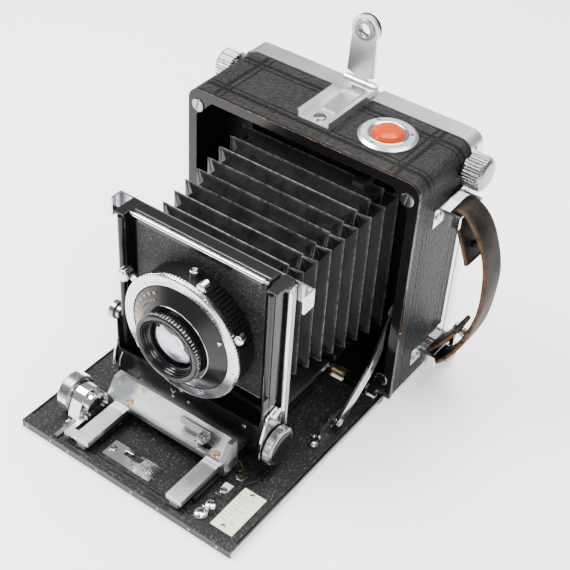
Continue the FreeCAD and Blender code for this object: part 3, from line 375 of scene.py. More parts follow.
def adopt(name, mesh, finish, body, smooth=False):
    """Puts a finished mesh in the scene; a piece blended between bodies comes with no body."""
    made = bpy.data.objects.new(name, mesh)
    link(made)
    mesh.materials.append(finish)
    if smooth:
        mesh.polygons.foreach_set("use_smooth", [True] * len(mesh.polygons))
    if body:
        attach(made, body)
    return made


def modify(made, kind, **settings):
    """Adds one modifier and hands the piece back."""
    change = made.modifiers.new(kind.lower(), kind)
    for key, value in settings.items():
        setattr(change, key, value)
    return made


def soften(made, width=0.4, segments=3, angle=30):
    """Breaks the sharp edges of a piece."""
    return modify(made, "BEVEL", width=width * MM, segments=segments, limit_method="ANGLE",
                  angle_limit=radians(angle), harden_normals=False)


def frame_of(axis):
    """Turns local Z onto an axis of the shared frame."""
    return Vector((0, 0, 1)).rotation_difference(Vector(axis)).to_matrix().to_4x4()


def lathe(name, profile, at, axis, finish, body, slot=None, steps=64, ribs=0, rib_depth=0.0,
          rib_span=None):
    """A turned piece from (along, radius) points; ribs press grooves into part of its length."""
    turn = Matrix.Translation(Vector(at)) @ frame_of(axis)
    count = ribs * 4 if ribs else steps
    points = []
    for along, radius in profile:
        for k in range(count):
            angle = 2 * pi * k / count
            inset = 0.0
            if ribs and rib_span[0] <= along <= rib_span[1]:
                inset = rib_depth if k % 4 in (0, 1) else 0.0
            reach = radius - inset
            points.append(turn @ Vector((reach * cos(angle), reach * sin(angle), along)))
    faces = []
    for row in range(len(profile) - 1):
        for k in range(count):
            after = (k + 1) % count
            faces.append((row * count + k, row * count + after, (row + 1) * count + after,
                          (row + 1) * count + k))
    faces.append(tuple(reversed(range(count))))
    last = (len(profile) - 1) * count
    faces.append(tuple(range(last, last + count)))
    made = piece(name, points, faces, finish, body, smooth=not ribs)
    if ribs:
        return soften(made, 0.15, 1, 40)
    return soften(made, 0.18, 2, 35)


def bar(name, low, high, finish, body, soft=0.3):
    """A rectangular piece with broken edges."""
    points = [(x, y, z) for x in (low[0], high[0]) for y in (low[1], high[1]) for z in (low[2], high[2])]
    faces = [(0, 1, 3, 2), (4, 6, 7, 5), (0, 4, 5, 1), (2, 3, 7, 6), (0, 2, 6, 4), (1, 5, 7, 3)]
    return soften(piece(name, points, faces, finish, body), soft)


def prism(name, outline, low, high, axis, finish, body, soft=0.25):
    """A flat outline of (u, v) points given thickness along one axis of the frame."""
    lay = {"x": lambda u, v, w: (w, u, v), "y": lambda u, v, w: (u, w, v),
           "z": lambda u, v, w: (u, v, w)}[axis]
    count = len(outline)
    points = [lay(u, v, low) for u, v in outline] + [lay(u, v, high) for u, v in outline]
    faces = [tuple(range(count)), tuple(reversed(range(count, 2 * count)))]
    faces += [(k, k + count, (k + 1) % count + count, (k + 1) % count) for k in range(count)]
    made = piece(name, points, faces, finish, body)
    fix = bmesh.new()
    fix.from_mesh(made.data)
    bmesh.ops.recalc_face_normals(fix, faces=fix.faces)
    fix.to_mesh(made.data)
    fix.free()
    return soften(made, soft) if soft else made


def wire(name, route, radius, finish, body, smooth=True):
    """A bent wire or rod through a few points."""
    curve = bpy.data.curves.new(name, "CURVE")
    curve.dimensions = "3D"
    curve.bevel_depth = radius * MM
    curve.bevel_resolution = 4
    curve.use_fill_caps = True
    line = curve.splines.new("NURBS")
    line.points.add(len(route) - 1)
    for point, place in zip(line.points, route):
        point.co = (*(Vector(place) * MM), 1)
    line.order_u = 3 if smooth else 2
    line.use_endpoint_u = True
    made = bpy.data.objects.new(name, curve)
    link(made)
    curve.materials.append(finish)
    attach(made, body)
    return made


def rod(name, start, end, radius, finish, body):
    """A straight round rod."""
    return wire(name, [start, end], radius, finish, body, smooth=False)


def screw_head(name, at, axis, radius, body, turn=0.6, thick=0.8, finish=NICKEL):
    """A slotted cheese head: a domed disc with a real slot cut across it."""
    steps = 40
    rings = [(0, 1.0), (thick * 0.55, 1.0), (thick * 0.85, 0.9), (thick, 0.6)]
    mesh = bpy.data.meshes.new(name)
    shape = bmesh.new()
    half = radius * 0.12
    for side in (-1, 1):
        start = asin(0.12)
        angles = [start + (pi - 2 * start) * k / (steps // 2) for k in range(steps // 2 + 1)]
        rows = []
        for level, share in rings:
            row = []
            for angle in angles:
                x = radius * share * cos(angle)
                y = max(radius * share * sin(angle), half)
                row.append(shape.verts.new((x, side * y, level)))
            rows.append(row)
        for low, high in zip(rows, rows[1:]):
            for k in range(len(angles) - 1):
                shape.faces.new((low[k], low[k + 1], high[k + 1], high[k]))
            shape.faces.new((low[-1], low[0], high[0], high[-1]))
        shape.faces.new(rows[-1])
        shape.faces.new(rows[0])
    bmesh.ops.create_cone(shape, cap_ends=True, segments=steps, radius1=radius * 0.97,
                          radius2=radius * 0.97, depth=thick * 0.4,
                          matrix=Matrix.Translation((0, 0, thick * 0.2)))
    bmesh.ops.recalc_face_normals(shape, faces=shape.faces)
    place = Matrix.Translation(Vector(at)) @ frame_of(axis) @ Matrix.Rotation(turn, 4, "Z")
    bmesh.ops.transform(shape, matrix=Matrix.Scale(MM, 4) @ place, verts=shape.verts)
    shape.to_mesh(mesh)
    shape.free()
    return adopt(name, mesh, finish, body)


def cut_out(whole, tool):
    """Takes one mesh away from another, then drops the tool."""
    modify(whole, "BOOLEAN", operation="DIFFERENCE", object=tool, solver="EXACT")
    bpy.context.view_layer.update()
    ready = bpy.data.meshes.new_from_object(whole.evaluated_get(bpy.context.evaluated_depsgraph_get()))
    whole.modifiers.clear()
    whole.data = ready
    bpy.data.objects.remove(tool)


def bored(name, profile, hole, at, axis, finish, body, slot=None, steps=96, **ribbing):
    """A turned piece with a second turned shape taken out of it."""
    whole = lathe(name, profile, at, axis, finish, body, slot, steps, **ribbing)
    cut_out(whole, lathe(name + "_cutter", hole, at, axis, finish, body, steps=steps))
    return whole


# ---- bellows: one pleated tube, cut at fold lines so that each length crosses one joint ----

FOLDS = 9
REAR_Y = -5.2
FRONT_Y = -117.5
FOLD_DEEP = 4.6


def section_at(station):
    """The tube's half width, top and bottom at a half-fold station counted from the rear."""
    share = station / (2 * FOLDS)
    y = REAR_Y + (FRONT_Y - REAR_Y) * (share ** 0.93)
    half = 55.5 - 9.5 * share
    top = 142.5 - 10.5 * share
    bottom = 31 + 22 * share
    if station >= 2 * FOLDS - 0.01:
        top = 124.5
    return y, half, top, bottom


def ring_points(station, out):
    """One closed loop; out is +1 where the top stands proud and -1 where the sides do."""
    y, half, top, bottom = section_at(station)
    deep = FOLD_DEEP * out
    corner = half - 7.5 + 6.0 * out
    rise = 9.0 + 7.5 * out
    side = half - deep
    keys = [(corner, top + deep), (side, top - rise), (side, bottom + rise), (corner, bottom - deep)]
    outline = keys + [(-x, z) for x, z in reversed(keys)]
    counts = (2, 12, 2, 12, 2, 12, 2, 12)
    points = []
    for (start, count), end in zip(zip(outline, counts), outline[1:] + outline[:1]):
        for k in range(count):
            share = k / count
            points.append((start[0] + (end[0] - start[0]) * share, y,
                           start[1] + (end[1] - start[1]) * share))
    return points


def make_bellows():
    cuts = (("root", "bed", 0, 6), ("bed", "rails", 6, 11), ("rails", "carriage", 11, 14),
            ("carriage", "standard", 14, 16), ("standard", "lens_frame", 16, 2 * FOLDS))
    pleat = ((0.0, 1.0), (0.05, 0.25), (0.16, 0.0), (0.5, 0.0), (0.84, 0.0), (0.95, 0.25))
    for rear_body, front_body, first, last in cuts:
        name = f"bellows_{rear_body}_to_{front_body}"
        loops = [(station, share, fold) for station in range(first, last) for share, fold in pleat]
        loops.append((last, 0.0, 1.0))
        rows = []
        fold_wear_and_sheen = []
        flat = ([True] * 2 + [False] * 12 + [True] * 14) * 2
        for station, share, fold in loops:
            out = 1 if station % 2 == 0 else -1
            here = ring_points(station, out)
            ahead = ring_points(min(station + 1, 2 * FOLDS), -out)
            row = []
            for k, (a, b) in enumerate(zip(here, ahead)):
                point = Vector(a).lerp(Vector(b), share)
                if 0 < share < 1:
                    wave = sin(k * 0.9 + station * 1.7) * sin(pi * share)
                    point.y += 0.35 * wave
                row.append(point)
            rows.append(row)
            # the paler fold colour is kept to the proud faces: wear there, and a painted highlight where
            # those faces catch the light
            fold_wear_and_sheen += [fold * (1.0 if proud == (out > 0) or k % 14 < 2 else 0.1) for k,
                      proud in enumerate(flat)]
        count = len(rows[0])
        faces = []
        for k in range(len(rows) - 1):
            for j in range(count):
                after = (j + 1) % count
                faces.append((k * count + j, (k + 1) * count + j, (k + 1) * count + after,
                              k * count + after))
        points = [p for row in rows for p in row]
        made = piece(name, points, faces, CLOTH, None)
        mark = made.data.attributes.new("fold", "FLOAT", "POINT")
        mark.data.foreach_set("value", fold_wear_and_sheen)
        modify(made, "SOLIDIFY", thickness=0.5 * MM, offset=-1)
        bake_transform(made)
        if rear_body == "root":
            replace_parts(made, "bellows")


make_bellows()


# ---- hand strap: a flat band wrapped over the bars of both brackets ----

def make_strap():
    """One leather band that doubles back round the bar of each bracket."""
    half = 10.0
    thick = 2.6
    middle_y = 2.0
    route = [(108.5, 108), (103, 122), (98.5, 131), (92.5, 135.5), (93, 142.5), (99.5, 144), (107, 138.5),
             (115.5, 127), (121.5, 109), (123.2, 90), (121.4, 68), (116, 48), (108, 32), (101, 20.5),
             (94.5, 18.8), (91.6, 24), (95, 30.5), (103, 41), (109.5, 54)]
    curve = bpy.data.curves.new("strap_route", "CURVE")
    curve.dimensions = "3D"
    curve.resolution_u = 8
    line = curve.splines.new("NURBS")
    line.points.add(len(route) - 1)
    for point, (x, z) in zip(line.points, route):
        point.co = (x, middle_y, z, 1)
    line.order_u = 4
    line.use_endpoint_u = True
    holder = bpy.data.objects.new("strap_route", curve)
    path = [v.co.copy() for v in bpy.data.meshes.new_from_object(holder).vertices]
    bpy.data.objects.remove(holder)
    quarter = [(half, 0.5), (half - 0.5, thick / 2), (half - 2, thick / 2 + 0.25), (0, thick / 2 + 0.4)]
    outside = quarter + [(-across, out) for across, out in reversed(quarter[:-1])]
    profile = [(-across, -out) for across, out in outside] + outside
    count = len(profile)
    points = []
    edge = []
    for k, spot in enumerate(path):
        ahead = path[min(k + 1, len(path) - 1)] - path[max(k - 1, 0)]
        outward = Vector((ahead.z, 0, -ahead.x)).normalized()
        for across, out in profile:
            wobble = 0.25 * sin(k * 0.33 + across * 0.2)
            points.append(spot + Vector((0, across * (1 - 0.02 * sin(k * 0.21)), 0))
                          + outward * (out + wobble))
            edge.append(1.0 if abs(across) > half - 0.1 else (0.4 if abs(across) > half - 0.9 else 0.0))
    faces = []
    for k in range(len(path) - 1):
        for j in range(count):
            after = (j + 1) % count
            faces.append((k * count + j, k * count + after, (k + 1) * count + after, (k + 1) * count + j))
    faces.append(tuple(range(count)))
    faces.append(tuple(reversed(range((len(path) - 1) * count, len(path) * count))))
    band = piece("strap_band", points, faces, STRAP, "root", smooth=True)
    mark = band.data.attributes.new("edge", "FLOAT", "POINT")
    mark.data.foreach_set("value", edge)
    modify(band, "SUBSURF", levels=1, render_levels=1)
    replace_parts(band, "handle_strap")
    for name, at, out in (("high", (113.6, middle_y, 122.4), (0.86, 0, 0.5)),
                          ("low", (113.2, middle_y, 47.5), (0.93, 0, -0.37))):
        lathe(f"strap_rivet_{name}", [(-9.5, 2.2), (1.2, 3.4), (1.9, 3.1), (2.3, 1.8)], at, out, NICKEL,
              "root", steps=32)


# ---- fasteners ----

def body_screw(name, at, axis, radius, turn, thick):
    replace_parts(screw_head(name, at, axis, radius, "root", turn=turn, thick=thick), "body_screws")


def make_screws():
    """Slotted screws of the body, the bed, the carriage and the standard."""
    for side, sign in SIDES:
        for z, turn in ((14.5, 0.9), (158.5, 1.35)):
            body_screw(f"rim_screw_{side}_{int(z)}", (sign * 77.2, -36, z), FRONT, 4.6, turn, 0.9)
    reach = 14.5
    for k, turn in enumerate((30, 146, 263)):
        angle = radians(turn)
        at = (RELEASE_X + reach * cos(angle), RELEASE_Y + reach * sin(angle), 172.2)
        body_screw(f"bezel_screw_{k}", at, UP, 1.9, turn * 0.03, 0.7)
    body_screw("sight_screw", (0, -15, 171.4), UP, 4.0, 0.5, 1.4)
    for name, height, tilt in (("high", 138, 1), ("low", 25, -1)):
        for k, y in enumerate((-15, 18)):
            body_screw(f"handle_screw_{name}_{k}", (87.4, y, height + tilt), RIGHT, 2.0, 1.1 + k, 0.8)

    on_bed = [(-22, -184.5, PLATE_TOP, 2.6, 0.5), (7.3, -184.5, PLATE_TOP, 2.6, 2.1),
              (52.5, -153.2, BED_TOP, 3.2, 1.2)]
    on_bed += [(sign * 67.6, -97.6, PLATE_TOP, 2.0, 0.8) for _, sign in SIDES]
    for k, (x, y, z, radius, turn) in enumerate(on_bed):
        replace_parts(screw_head(f"bed_screw_{k}", (x, y, z), UP, radius, "bed", turn=turn), "bed_screws")
    for k, (x, y) in enumerate(((-33, -156.4), (36, -156.4))):
        screw_head(f"carriage_screw_{k}", (x, y, 17.3), UP, 2.6, "carriage", turn=0.7 + k, finish=BRASS)
    for k, x in enumerate((-4, 44)):
        screw_head(f"panel_screw_{k}", (x, PANEL_FACE, 33.5), FRONT, 1.5, "standard", turn=k + 0.4)
    for side, sign in SIDES:
        lathe(f"strut_dome_{side}", [(0, 3.6), (1.2, 3.6), (2.4, 2.6), (3.0, 1.0)],
              (sign * 71.2, -103.6, BED_TOP), UP, NICKEL, "bed", steps=32)
        lathe(f"strut_cap_{side}", [(-0.2, 3.2), (0.8, 3.0), (1.4, 1.6)], (sign * 77.0, -83, 11),
              (sign, 0, 0), NICKEL, f"strut_{'left' if sign < 0 else 'right'}", steps=32)


# ---- knobs: ribbed rims and turned faces ----

def make_knobs():
    """The focus, shift and back knobs, each a ribbed rim with a turned face."""
    profile = [(-0.3, 3.0), (-0.3, 5.4), (0.2, 10.4), (0.3, 11.8), (1.0, 12.8), (8.0, 12.8), (8.8, 12.1),
               (8.9, 11.2), (8.2, 10.2), (8.0, 4.0), (8.6, 2.0)]
    focus = lathe("focus_knob_ribbed", profile, (-60, *FOCUS_AXLE), (-1, 0, 0), NICKEL, "focus_knob",
                  ribs=72, rib_depth=0.45, rib_span=(0.8, 8.1))
    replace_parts(focus, "focus_knob")
    profile = [(0, 8.0), (0, 12.0), (0.7, 12.8), (5.0, 12.8), (5.8, 12.2), (6.3, 11.2), (6.3, 10.6)]
    shift = lathe("shift_knob_ribbed", profile, (59.4, *SHIFT_AXLE), RIGHT, NICKEL, "shift_knob", ribs=78,
                  rib_depth=0.35, rib_span=(0.6, 5.1))
    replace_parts(shift, "shift_knob")
    lathe("shift_knob_face", [(0, 10.4), (0.5, 10.4), (1.0, 8.0), (0.7, 3.0), (0.9, 0.8)],
          (65.3, *SHIFT_AXLE), RIGHT, BLACK, "shift_knob")
    for side, sign in (("left", -1), ("right", 1)):
        for level, z, radius in (("low", 10.6, 7.6), ("high", 156.3, 11.2)):
            rim = radius - 1.0
            body = f"lock_knob_{side}_{level}"
            profile = [(0, 2.5), (0, rim), (0.9, radius), (10.8, radius), (12.0, rim), (13.3, rim - 1.8),
                       (13.8, rim * 0.55), (13.8, 1.2)]
            made = lathe(body + "_ribbed", profile, (sign * 87.2, 18.7, z), (sign, 0, 0), NICKEL, body,
                         ribs=34 if level == "high" else 26, rib_depth=0.75, rib_span=(0.8, 10.9))
            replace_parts(made, body)
            lathe(body + "_collar", [(0, 6.6), (1.2, 6.6), (1.9, 5.6), (1.9, 2.7)], (sign * 85.0, 18.7, z),
                  (sign, 0, 0), NICKEL, "root", steps=40)
            lathe(body + "_screw", [(0, 2.4), (11.2, 2.4)], (sign * 76.7, 18.7, z), (sign, 0, 0), STEEL,
                  body, steps=24)


# ---- shutter: dial, marks, knurled arc and glass ----

def on_dial(reach, degrees, y):
    """A place on the shutter, degrees counted from +X towards +Z."""
    angle = radians(degrees)
    return Vector((reach * cos(angle), y, LENS_Z + reach * sin(angle)))


def dial_tick(name, degrees, inner, outer, y, wide, finish, body, thick=0.12):
    """A thin filled mark that lies on a face turned towards -Y."""
    out = on_dial(1, degrees, y) - on_dial(0, degrees, y)
    side = Vector((-out.z, 0, out.x)) * wide / 2
    corners = [on_dial(inner, degrees, y) - side, on_dial(outer, degrees, y) - side,
               on_dial(outer, degrees, y) + side, on_dial(inner, degrees, y) + side]
    points = corners + [p + Vector((0, -thick, 0)) for p in corners]
    faces = [(0, 3, 2, 1), (4, 5, 6, 7)] + [(k, (k + 1) % 4, (k + 1) % 4 + 4, k + 4) for k in range(4)]
    return piece(name, points, faces, finish, body)


def number(name, text, place, size, turn, finish, body, flat_on="y"):
    """A generic number, slightly raised like engraving filled with paint."""
    curve = bpy.data.curves.new(name, "FONT")
    curve.body = text
    curve.size = size * MM
    curve.extrude = 0.06 * MM
    curve.align_x = "CENTER"
    curve.align_y = "CENTER"
    holder = bpy.data.objects.new(name + "_text", curve)
    mesh = bpy.data.meshes.new_from_object(holder)
    bpy.data.objects.remove(holder)
    stand = Matrix.Rotation(pi / 2, 4, "X") if flat_on == "y" else Matrix.Identity(4)
    mesh.transform(Matrix.Translation(Vector(place) * MM) @ stand @ Matrix.Rotation(turn, 4, "Z"))
    mesh.materials.clear()
    return adopt(name, mesh, finish, body)


def make_shutter():
    """Speed ring, aperture scale, barrel, glass and the caps of the levers."""
    profile = [(0, 36.4), (0, 41.6), (0.5, 42.6), (1.2, 42.9), (3.4, 42.9), (3.4, 36.0), (0.6, 36.0)]
    ring = bored("dial_ring", profile, [(-1, 35.9), (5, 35.9)], (0, DIAL_FACE, LENS_Z), REAR, CHROME,
                 "speed_ring", ribs=120, rib_depth=0.28, rib_span=(1.1, 3.5))
    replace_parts(ring, "speed_ring")
    speeds = ("1", "2", "5", "10", "25", "50", "100", "200")
    for k, text in enumerate(speeds):
        degrees = 28 - 17.5 * k
        number(f"speed_{text}", text, on_dial(39.4, degrees, DIAL_FACE), 3.1, radians(degrees - 90),
               BLACK_INK, "speed_ring")
        dial_tick(f"speed_mark_{text}", degrees + 5, 36.6, 38.2, DIAL_FACE, 0.35, BLACK_INK, "speed_ring")
    for k in range(26):
        dial_tick(f"dial_tick_{k}", 52 + 3.2 * k, 36.6, 38.4 if k % 5 else 39.8, DIAL_FACE, 0.28,
                  BLACK_INK, "speed_ring")

    apertures = ("4.5", "6.3", "8", "11", "16", "22", "32")
    for k, text in enumerate(apertures):
        degrees = 176 - 9.0 * k
        number(f"stop_{k}", text, on_dial(32.0, degrees, -149.35), 2.3, radians(degrees - 90), BRASS,
               "lens_frame")
    for k in range(13):
        dial_tick(f"stop_tick_{k}", 178 - 4.6 * k, 27.9, 29.2, -150.8, 0.3, BRASS, "lens_frame", thick=0.6)
    triangle = [on_dial(35.0, 25, -148.0), on_dial(33.0, 27.2, -148.8), on_dial(33.0, 22.8, -148.8)]
    points = [p + Vector((0, -0.25, 0)) for p in triangle] + [p + Vector((0, 0.4, 0)) for p in triangle]
    piece("white_pointer", points, [(0, 1, 2), (5, 4, 3), (0, 3, 4, 1), (1, 4, 5, 2), (2, 5, 3, 0)],
          WHITE_INK, "lens_frame")

    for k in range(15):
        degrees = 14 + 3.9 * k
        spot = on_dial(41.0, degrees, 0)
        rod(f"fin_{k}", (spot.x, -141.0, spot.z), (spot.x, -131.2, spot.z), 1.15, BLACK, "lens_frame")
    profile = [(0.3, 20.2), (0, 20.6), (0, 22.4), (0.8, 23.2), (4.2, 23.2), (4.6, 22.6), (4.6, 21.8),
               (5.4, 21.8), (5.4, 21.2), (7.8, 21.2), (7.8, 18.8), (11, 18.8)]
    cone = [(-1, 20.2), (1.5, 19.6), (5.6, 17.2), (5.8, 16.5), (12, 16.5)]
    barrel = bored("barrel_turned", profile, cone, (0, BARREL_FACE, LENS_Z), REAR, BLACK, "lens_frame")
    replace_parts(barrel, "lens_barrel")
    for k in range(34):
        degrees = 128 - 5.4 * k
        spot = on_dial(22.9, degrees, 0)
        far_end = -157.4 + 0.6 * (k % 2)
        rod(f"barrel_mark_{k}", (spot.x, -159.1, spot.z), (spot.x, far_end, spot.z), 0.34, WHITE_INK,
            "lens_frame")
    arc = [on_dial(25.4, 112 - 5 * k, -152.25) for k in range(31)]
    wire("barrel_bright_line", arc, 0.26, CHROME, "lens_frame")
    for k, (along, radius) in enumerate(((0.9, 18.8), (2.3, 18.1), (3.7, 17.4))):
        points = [on_dial(radius, 6 * j, BARREL_FACE + along) for j in range(61)]
        wire(f"barrel_step_{k}", points, 0.28, BLACK_DULL, "lens_frame")

    front = lathe("front_element", [(0, 0.2), (0.25, 4), (0.9, 8), (1.9, 12), (3.4, 16.2), (5.0, 16.3)],
                  (0, BARREL_FACE + 4.8, LENS_Z), REAR, GLASS, "lens_frame", steps=96)
    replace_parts(front, "front_glass")
    lathe("inner_element", [(0, 0.2), (-0.4, 5), (-1.2, 10), (-2.0, 13.5), (1.5, 13.5)],
          (0, DIAL_FACE + 0.1, LENS_Z), REAR, SILVERED, "lens_frame", steps=80)
    caps = (("cocking", "lever", 72, 49, -146.1, 2.9), ("release", "lever", 150, 49.5, -147.1, 4.3),
            ("aperture", "pointer", 27, 46.6, -144.9, 3.1))
    for name, kind, degrees, reach, y, size in caps:
        spot = on_dial(reach, degrees, y)
        lathe(f"{name}_cap", [(0, size), (-0.9, size * 0.92), (-1.5, size * 0.6), (-1.7, 0.4)], spot, REAR,
              CHROME, f"{name}_{kind}", steps=36)
    tilt = 88
    spot = on_dial(40.8, tilt, -135.6)
    lathe("cable_socket", [(-1, 3.0), (4.4, 3.0), (4.8, 2.6), (4.8, 1.6), (2.0, 1.4)], spot,
          (cos(radians(tilt)), 0, sin(radians(tilt))), CHROME, "lens_frame", steps=36)


make_strap()
make_screws()
make_knobs()
make_shutter()


# ---- fittings on the bed ----

def make_bed_trim():
    """Distance tag, stops, springs, hinge fittings and the bed's worn edge."""
    tag = prism("distance_tag", [(60, -192), (76, -192), (76, -158), (60, -158)], BED_TOP + 0.05,
                BED_TOP + 0.7, "z", IVORY, "bed", soft=0.2)
    for name, y in (("near", -160.6), ("far", -189)):
        hole = lathe(f"tag_cutter_{name}", [(4, 1.7), (7, 1.7)], (67.3, y, 0), UP, BLACK, "bed",
                     slot="nickel", steps=32)
        cut_out(tag, hole)
        lathe(f"tag_pin_{name}", [(5.0, 1.6), (5.5, 1.6), (5.8, 0.8)], (67.3, y, 0), UP, STEEL, "bed",
              steps=28)
    for k in range(9):
        y = -164.5 - 2.5 * k
        bar(f"tag_line_{k}", (61.2, y - 0.12, 5.68), (61.2 + (4.2 if k % 2 else 6.0), y + 0.12, 5.78),
            BLACK_INK, "bed", soft=0.02)
    for k, text in enumerate(("2", "3", "4", "6", "10")):
        number(f"tag_number_{text}", text, (70.4, -164.5 - 5 * k, 5.7), 2.4, radians(90), BLACK_INK, "bed",
               flat_on="z")

    lathe("stop_dome", [(0, 4.4), (2.2, 4.4), (3.4, 3.4), (3.9, 1.4)], (51.8, -190.6, BED_TOP), UP, CHROME,
          "bed", steps=40)
    lathe("flag_cap", [(0, 3.3), (0.9, 3.0), (1.4, 1.4)], (54, -184, 10.2), UP, CHROME, "infinity_stop",
          steps=36)
    screw_head("stop_screw", (52.9, -170, 9), UP, 2.3, "bed", turn=0.4)
    route = [(38, -143, 5.9), (41.5, -143.5, 6.6), (44.5, -144, 5.9), (47, -145.5, 5.7),
             (49.2, -146.5, 5.7), (50.3, -148.6, 5.8), (49.4, -151, 6.2)]
    wire("catch_spring", route, 0.55, BRASS, "bed")
    wire("tag_wire", [(58.6, -157.6, 5.8), (60.5, -154, 6.3), (62.5, -150.5, 6.0), (62.2, -146, 5.9)],
         0.45, BLACK, "bed")
    prism("plate_lever", [(61, -149), (65.4, -147.2), (66.6, -142.8), (64.2, -139.6), (59.6, -141.2),
                          (58.4, -145.6)], BED_TOP, PLATE_TOP, "z", BLACK, "bed", soft=0.3)
    for side, sign in SIDES:
        lathe(f"hinge_washer_{side}", [(0, 2.1), (0, 3.6), (1.2, 3.6), (1.2, 2.1)],
              (sign * 70.4, HINGE_Y, HINGE_Z), (sign, 0, 0), NICKEL, "root", steps=32)
    turns = 9
    length = 8.8
    radius = 2.75
    coil = []
    for k in range(turns * 10 + 1):
        angle = 2 * pi * k / 10
        coil.append((43.6 + length * k / (turns * 10), HINGE_Y + radius * cos(angle),
                     HINGE_Z + radius * sin(angle)))
    wire("hinge_spring_coil", coil, 0.42, BRASS, "root")

    bar("bed_side_line", (82.35, -201, 1.3), (82.65, -46, 3.0), BRIGHT, "bed", soft=0.1)
    for k, y in enumerate((-193.4, -196.0, -198.6)):
        bar(f"edge_ridge_{k}", (-47, y - 0.55, 5.7), (47, y + 0.55, 6.6 - 0.2 * k), BLACK, "bed",
            soft=0.35)
    bar("edge_skin", (-82.3, -201.5, 5.6), (82.3, -194.1, 5.95), CRACKLE, "bed", soft=0.2)
    rod("hinge_rod_sleeve", (16, HINGE_Y, HINGE_Z + 0.5), (69.5, HINGE_Y, HINGE_Z + 0.5), 2.6, STEEL,
        "root")
    for side, sign in SIDES:
        low, high = sorted((sign * RAIL_INNER, sign * RAIL_OUTER))
        bar(f"rail_end_{side}", (low, -60.2, 11), (high, -45, RAIL_TOP), ALUMINIUM, "rails", soft=0.4)
        bar(f"body_rail_{side}", (low, -38.4, 10), (high, -19, RAIL_TOP), ALUMINIUM, "root", soft=0.4)
    bar("latch_bridge", (-14.6, -181.4, 6.1), (-8.4, -179.9, 7.0), CHROME, "bed", soft=0.25)
    for k, x in enumerate((-78, -60, -42, -20, 6, 30, 52, 71)):
        place = (x + 2 * sin(k * 2.1), -201.7, 3.2)
        lathe(f"edge_rivet_{k}", [(0, 0.9), (0.35, 0.8), (0.5, 0.3)], place, FRONT, BRASS, "bed", steps=20)


# ---- front standard and carriage trim ----

def make_standard_trim():
    """Posts, index marks and brackets of the standard, and the carriage's marks."""
    for side, sign in SIDES:
        rod(f"post_front_round_{side}", (sign * 54.5, -134.2, 38), (sign * 54.5, -134.2, 139.8), 2.3,
            BLACK, "standard")
        rod(f"post_rear_column_{side}", (sign * 59.4, -119.8, 30), (sign * 59.4, -119.8, 139.6), 1.5,
            NICKEL, "standard")
        outline = [(sign * 55.2, 38), (sign * 57, 38), (sign * 57, 62), (sign * 56.2, 62)]
        prism(f"base_gusset_{side}", outline, -139.6, -134.4, "y", BLACK, "standard", soft=0.2)
    mark_y = PANEL_FACE - 0.05
    arc = []
    for k in range(11):
        share = k / 10
        arc.append((-52.6 - 3.2 * sin(share * pi / 2), mark_y, 36.5 - 14 * share))
    wire("index_arc", arc, 0.32, WHITE_INK, "standard")
    wire("index_v", [(x, mark_y, z) for x, z in ((-13, 29.2), (-11.4, 26.2), (-9.6, 29.2))], 0.28,
         WHITE_INK, "standard", smooth=False)
    for k, (x, z) in enumerate(((-11.4, 23.4), (1.0, 26.0))):
        lathe(f"index_dot_{k}", [(0, 1.1), (0.3, 0.9), (0.4, 0.3)], (x, PANEL_FACE, z), FRONT, WHITE_INK,
              "standard", steps=20)

    # a thin black sheet on the carriage, painted as the shade inside its slot
    bar("channel_slot_shade_sheet", (19, -156.6, 17.2), (31, -153.4, 17.45), BLACK_DULL, "carriage", soft=0.1)
    lathe("channel_post", [(0, 1.7), (5.0, 1.7), (5.6, 1.1)], (21.5, -155, 17.3), UP, NICKEL, "carriage",
          steps=28)
    for k in range(7):
        y = -159.6 + 1.5 * k
        bar(f"cheek_line_{k}", (46.4, y, 17.6), (46.75, y + 0.45, 24 + min(6.4, k * 2.2)), BRIGHT,
            "carriage", soft=0.08)

    outline = [(-143, 16), (-143, 30), (-137, 48), (-128, 50), (-128, 45), (-133, 43), (-137.5, 29),
               (-137.5, 16)]
    prism("shift_bracket", outline, 57.5, 58.9, "x", CHROME, "standard", soft=0.3)
    lathe("shift_bracket_boss", [(0, 4.2), (1.8, 4.2), (2.6, 3.0)], (58.0, -128.6, 45), RIGHT, CHROME,
          "standard", steps=36)
    outline = [(-143, 24), (-141, 37), (-136, 52), (-128, 56), (-125.5, 51), (-132, 46), (-137, 36),
               (-139.5, 24)]
    prism("rise_bracket", outline, -58.9, -57.5, "x", CHROME, "standard", soft=0.3)
    roller = (-130.8, 142.4)
    rod("board_roller", (-47, *roller), (47, *roller), 1.5, CHROME, "board_clip")
    for side, sign in SIDES:
        lathe(f"roller_end_{side}", [(0, 1.0), (3.0, 1.0), (3.4, 0.6)], (sign * 46.8, *roller),
              (sign, 0, 0), NICKEL, "board_clip", steps=24)
    bar("clip_line", (-49, -128.3, 143.3), (49, -127.4, 143.9), CHROME, "board_clip", soft=0.1)
    bar("board_bright_line", (-46.5, -129.35, 50.2), (46.5, -128.9, 51.0), CHROME, "lens_frame", soft=0.08)
    lathe("carriage_grip_knurl", [(0, 3.3), (1.2, 3.6), (4.6, 3.6), (5.6, 2.9), (6.0, 1.2)],
          (25, -152.2, 23), FRONT, NICKEL, "carriage_lock", ribs=20, rib_depth=0.3, rib_span=(1.0, 4.7))


# ---- focus bracket: a cast arm over the pinion shaft ----

def arc_points(centre, radius, first, last, count=14):
    """Points of a rising arch, in degrees counted from +Y towards +Z."""
    angles = [radians(first + (last - first) * k / count) for k in range(count + 1)]
    return [(centre[0] + radius * cos(t), centre[1] + radius * sin(t)) for t in angles]


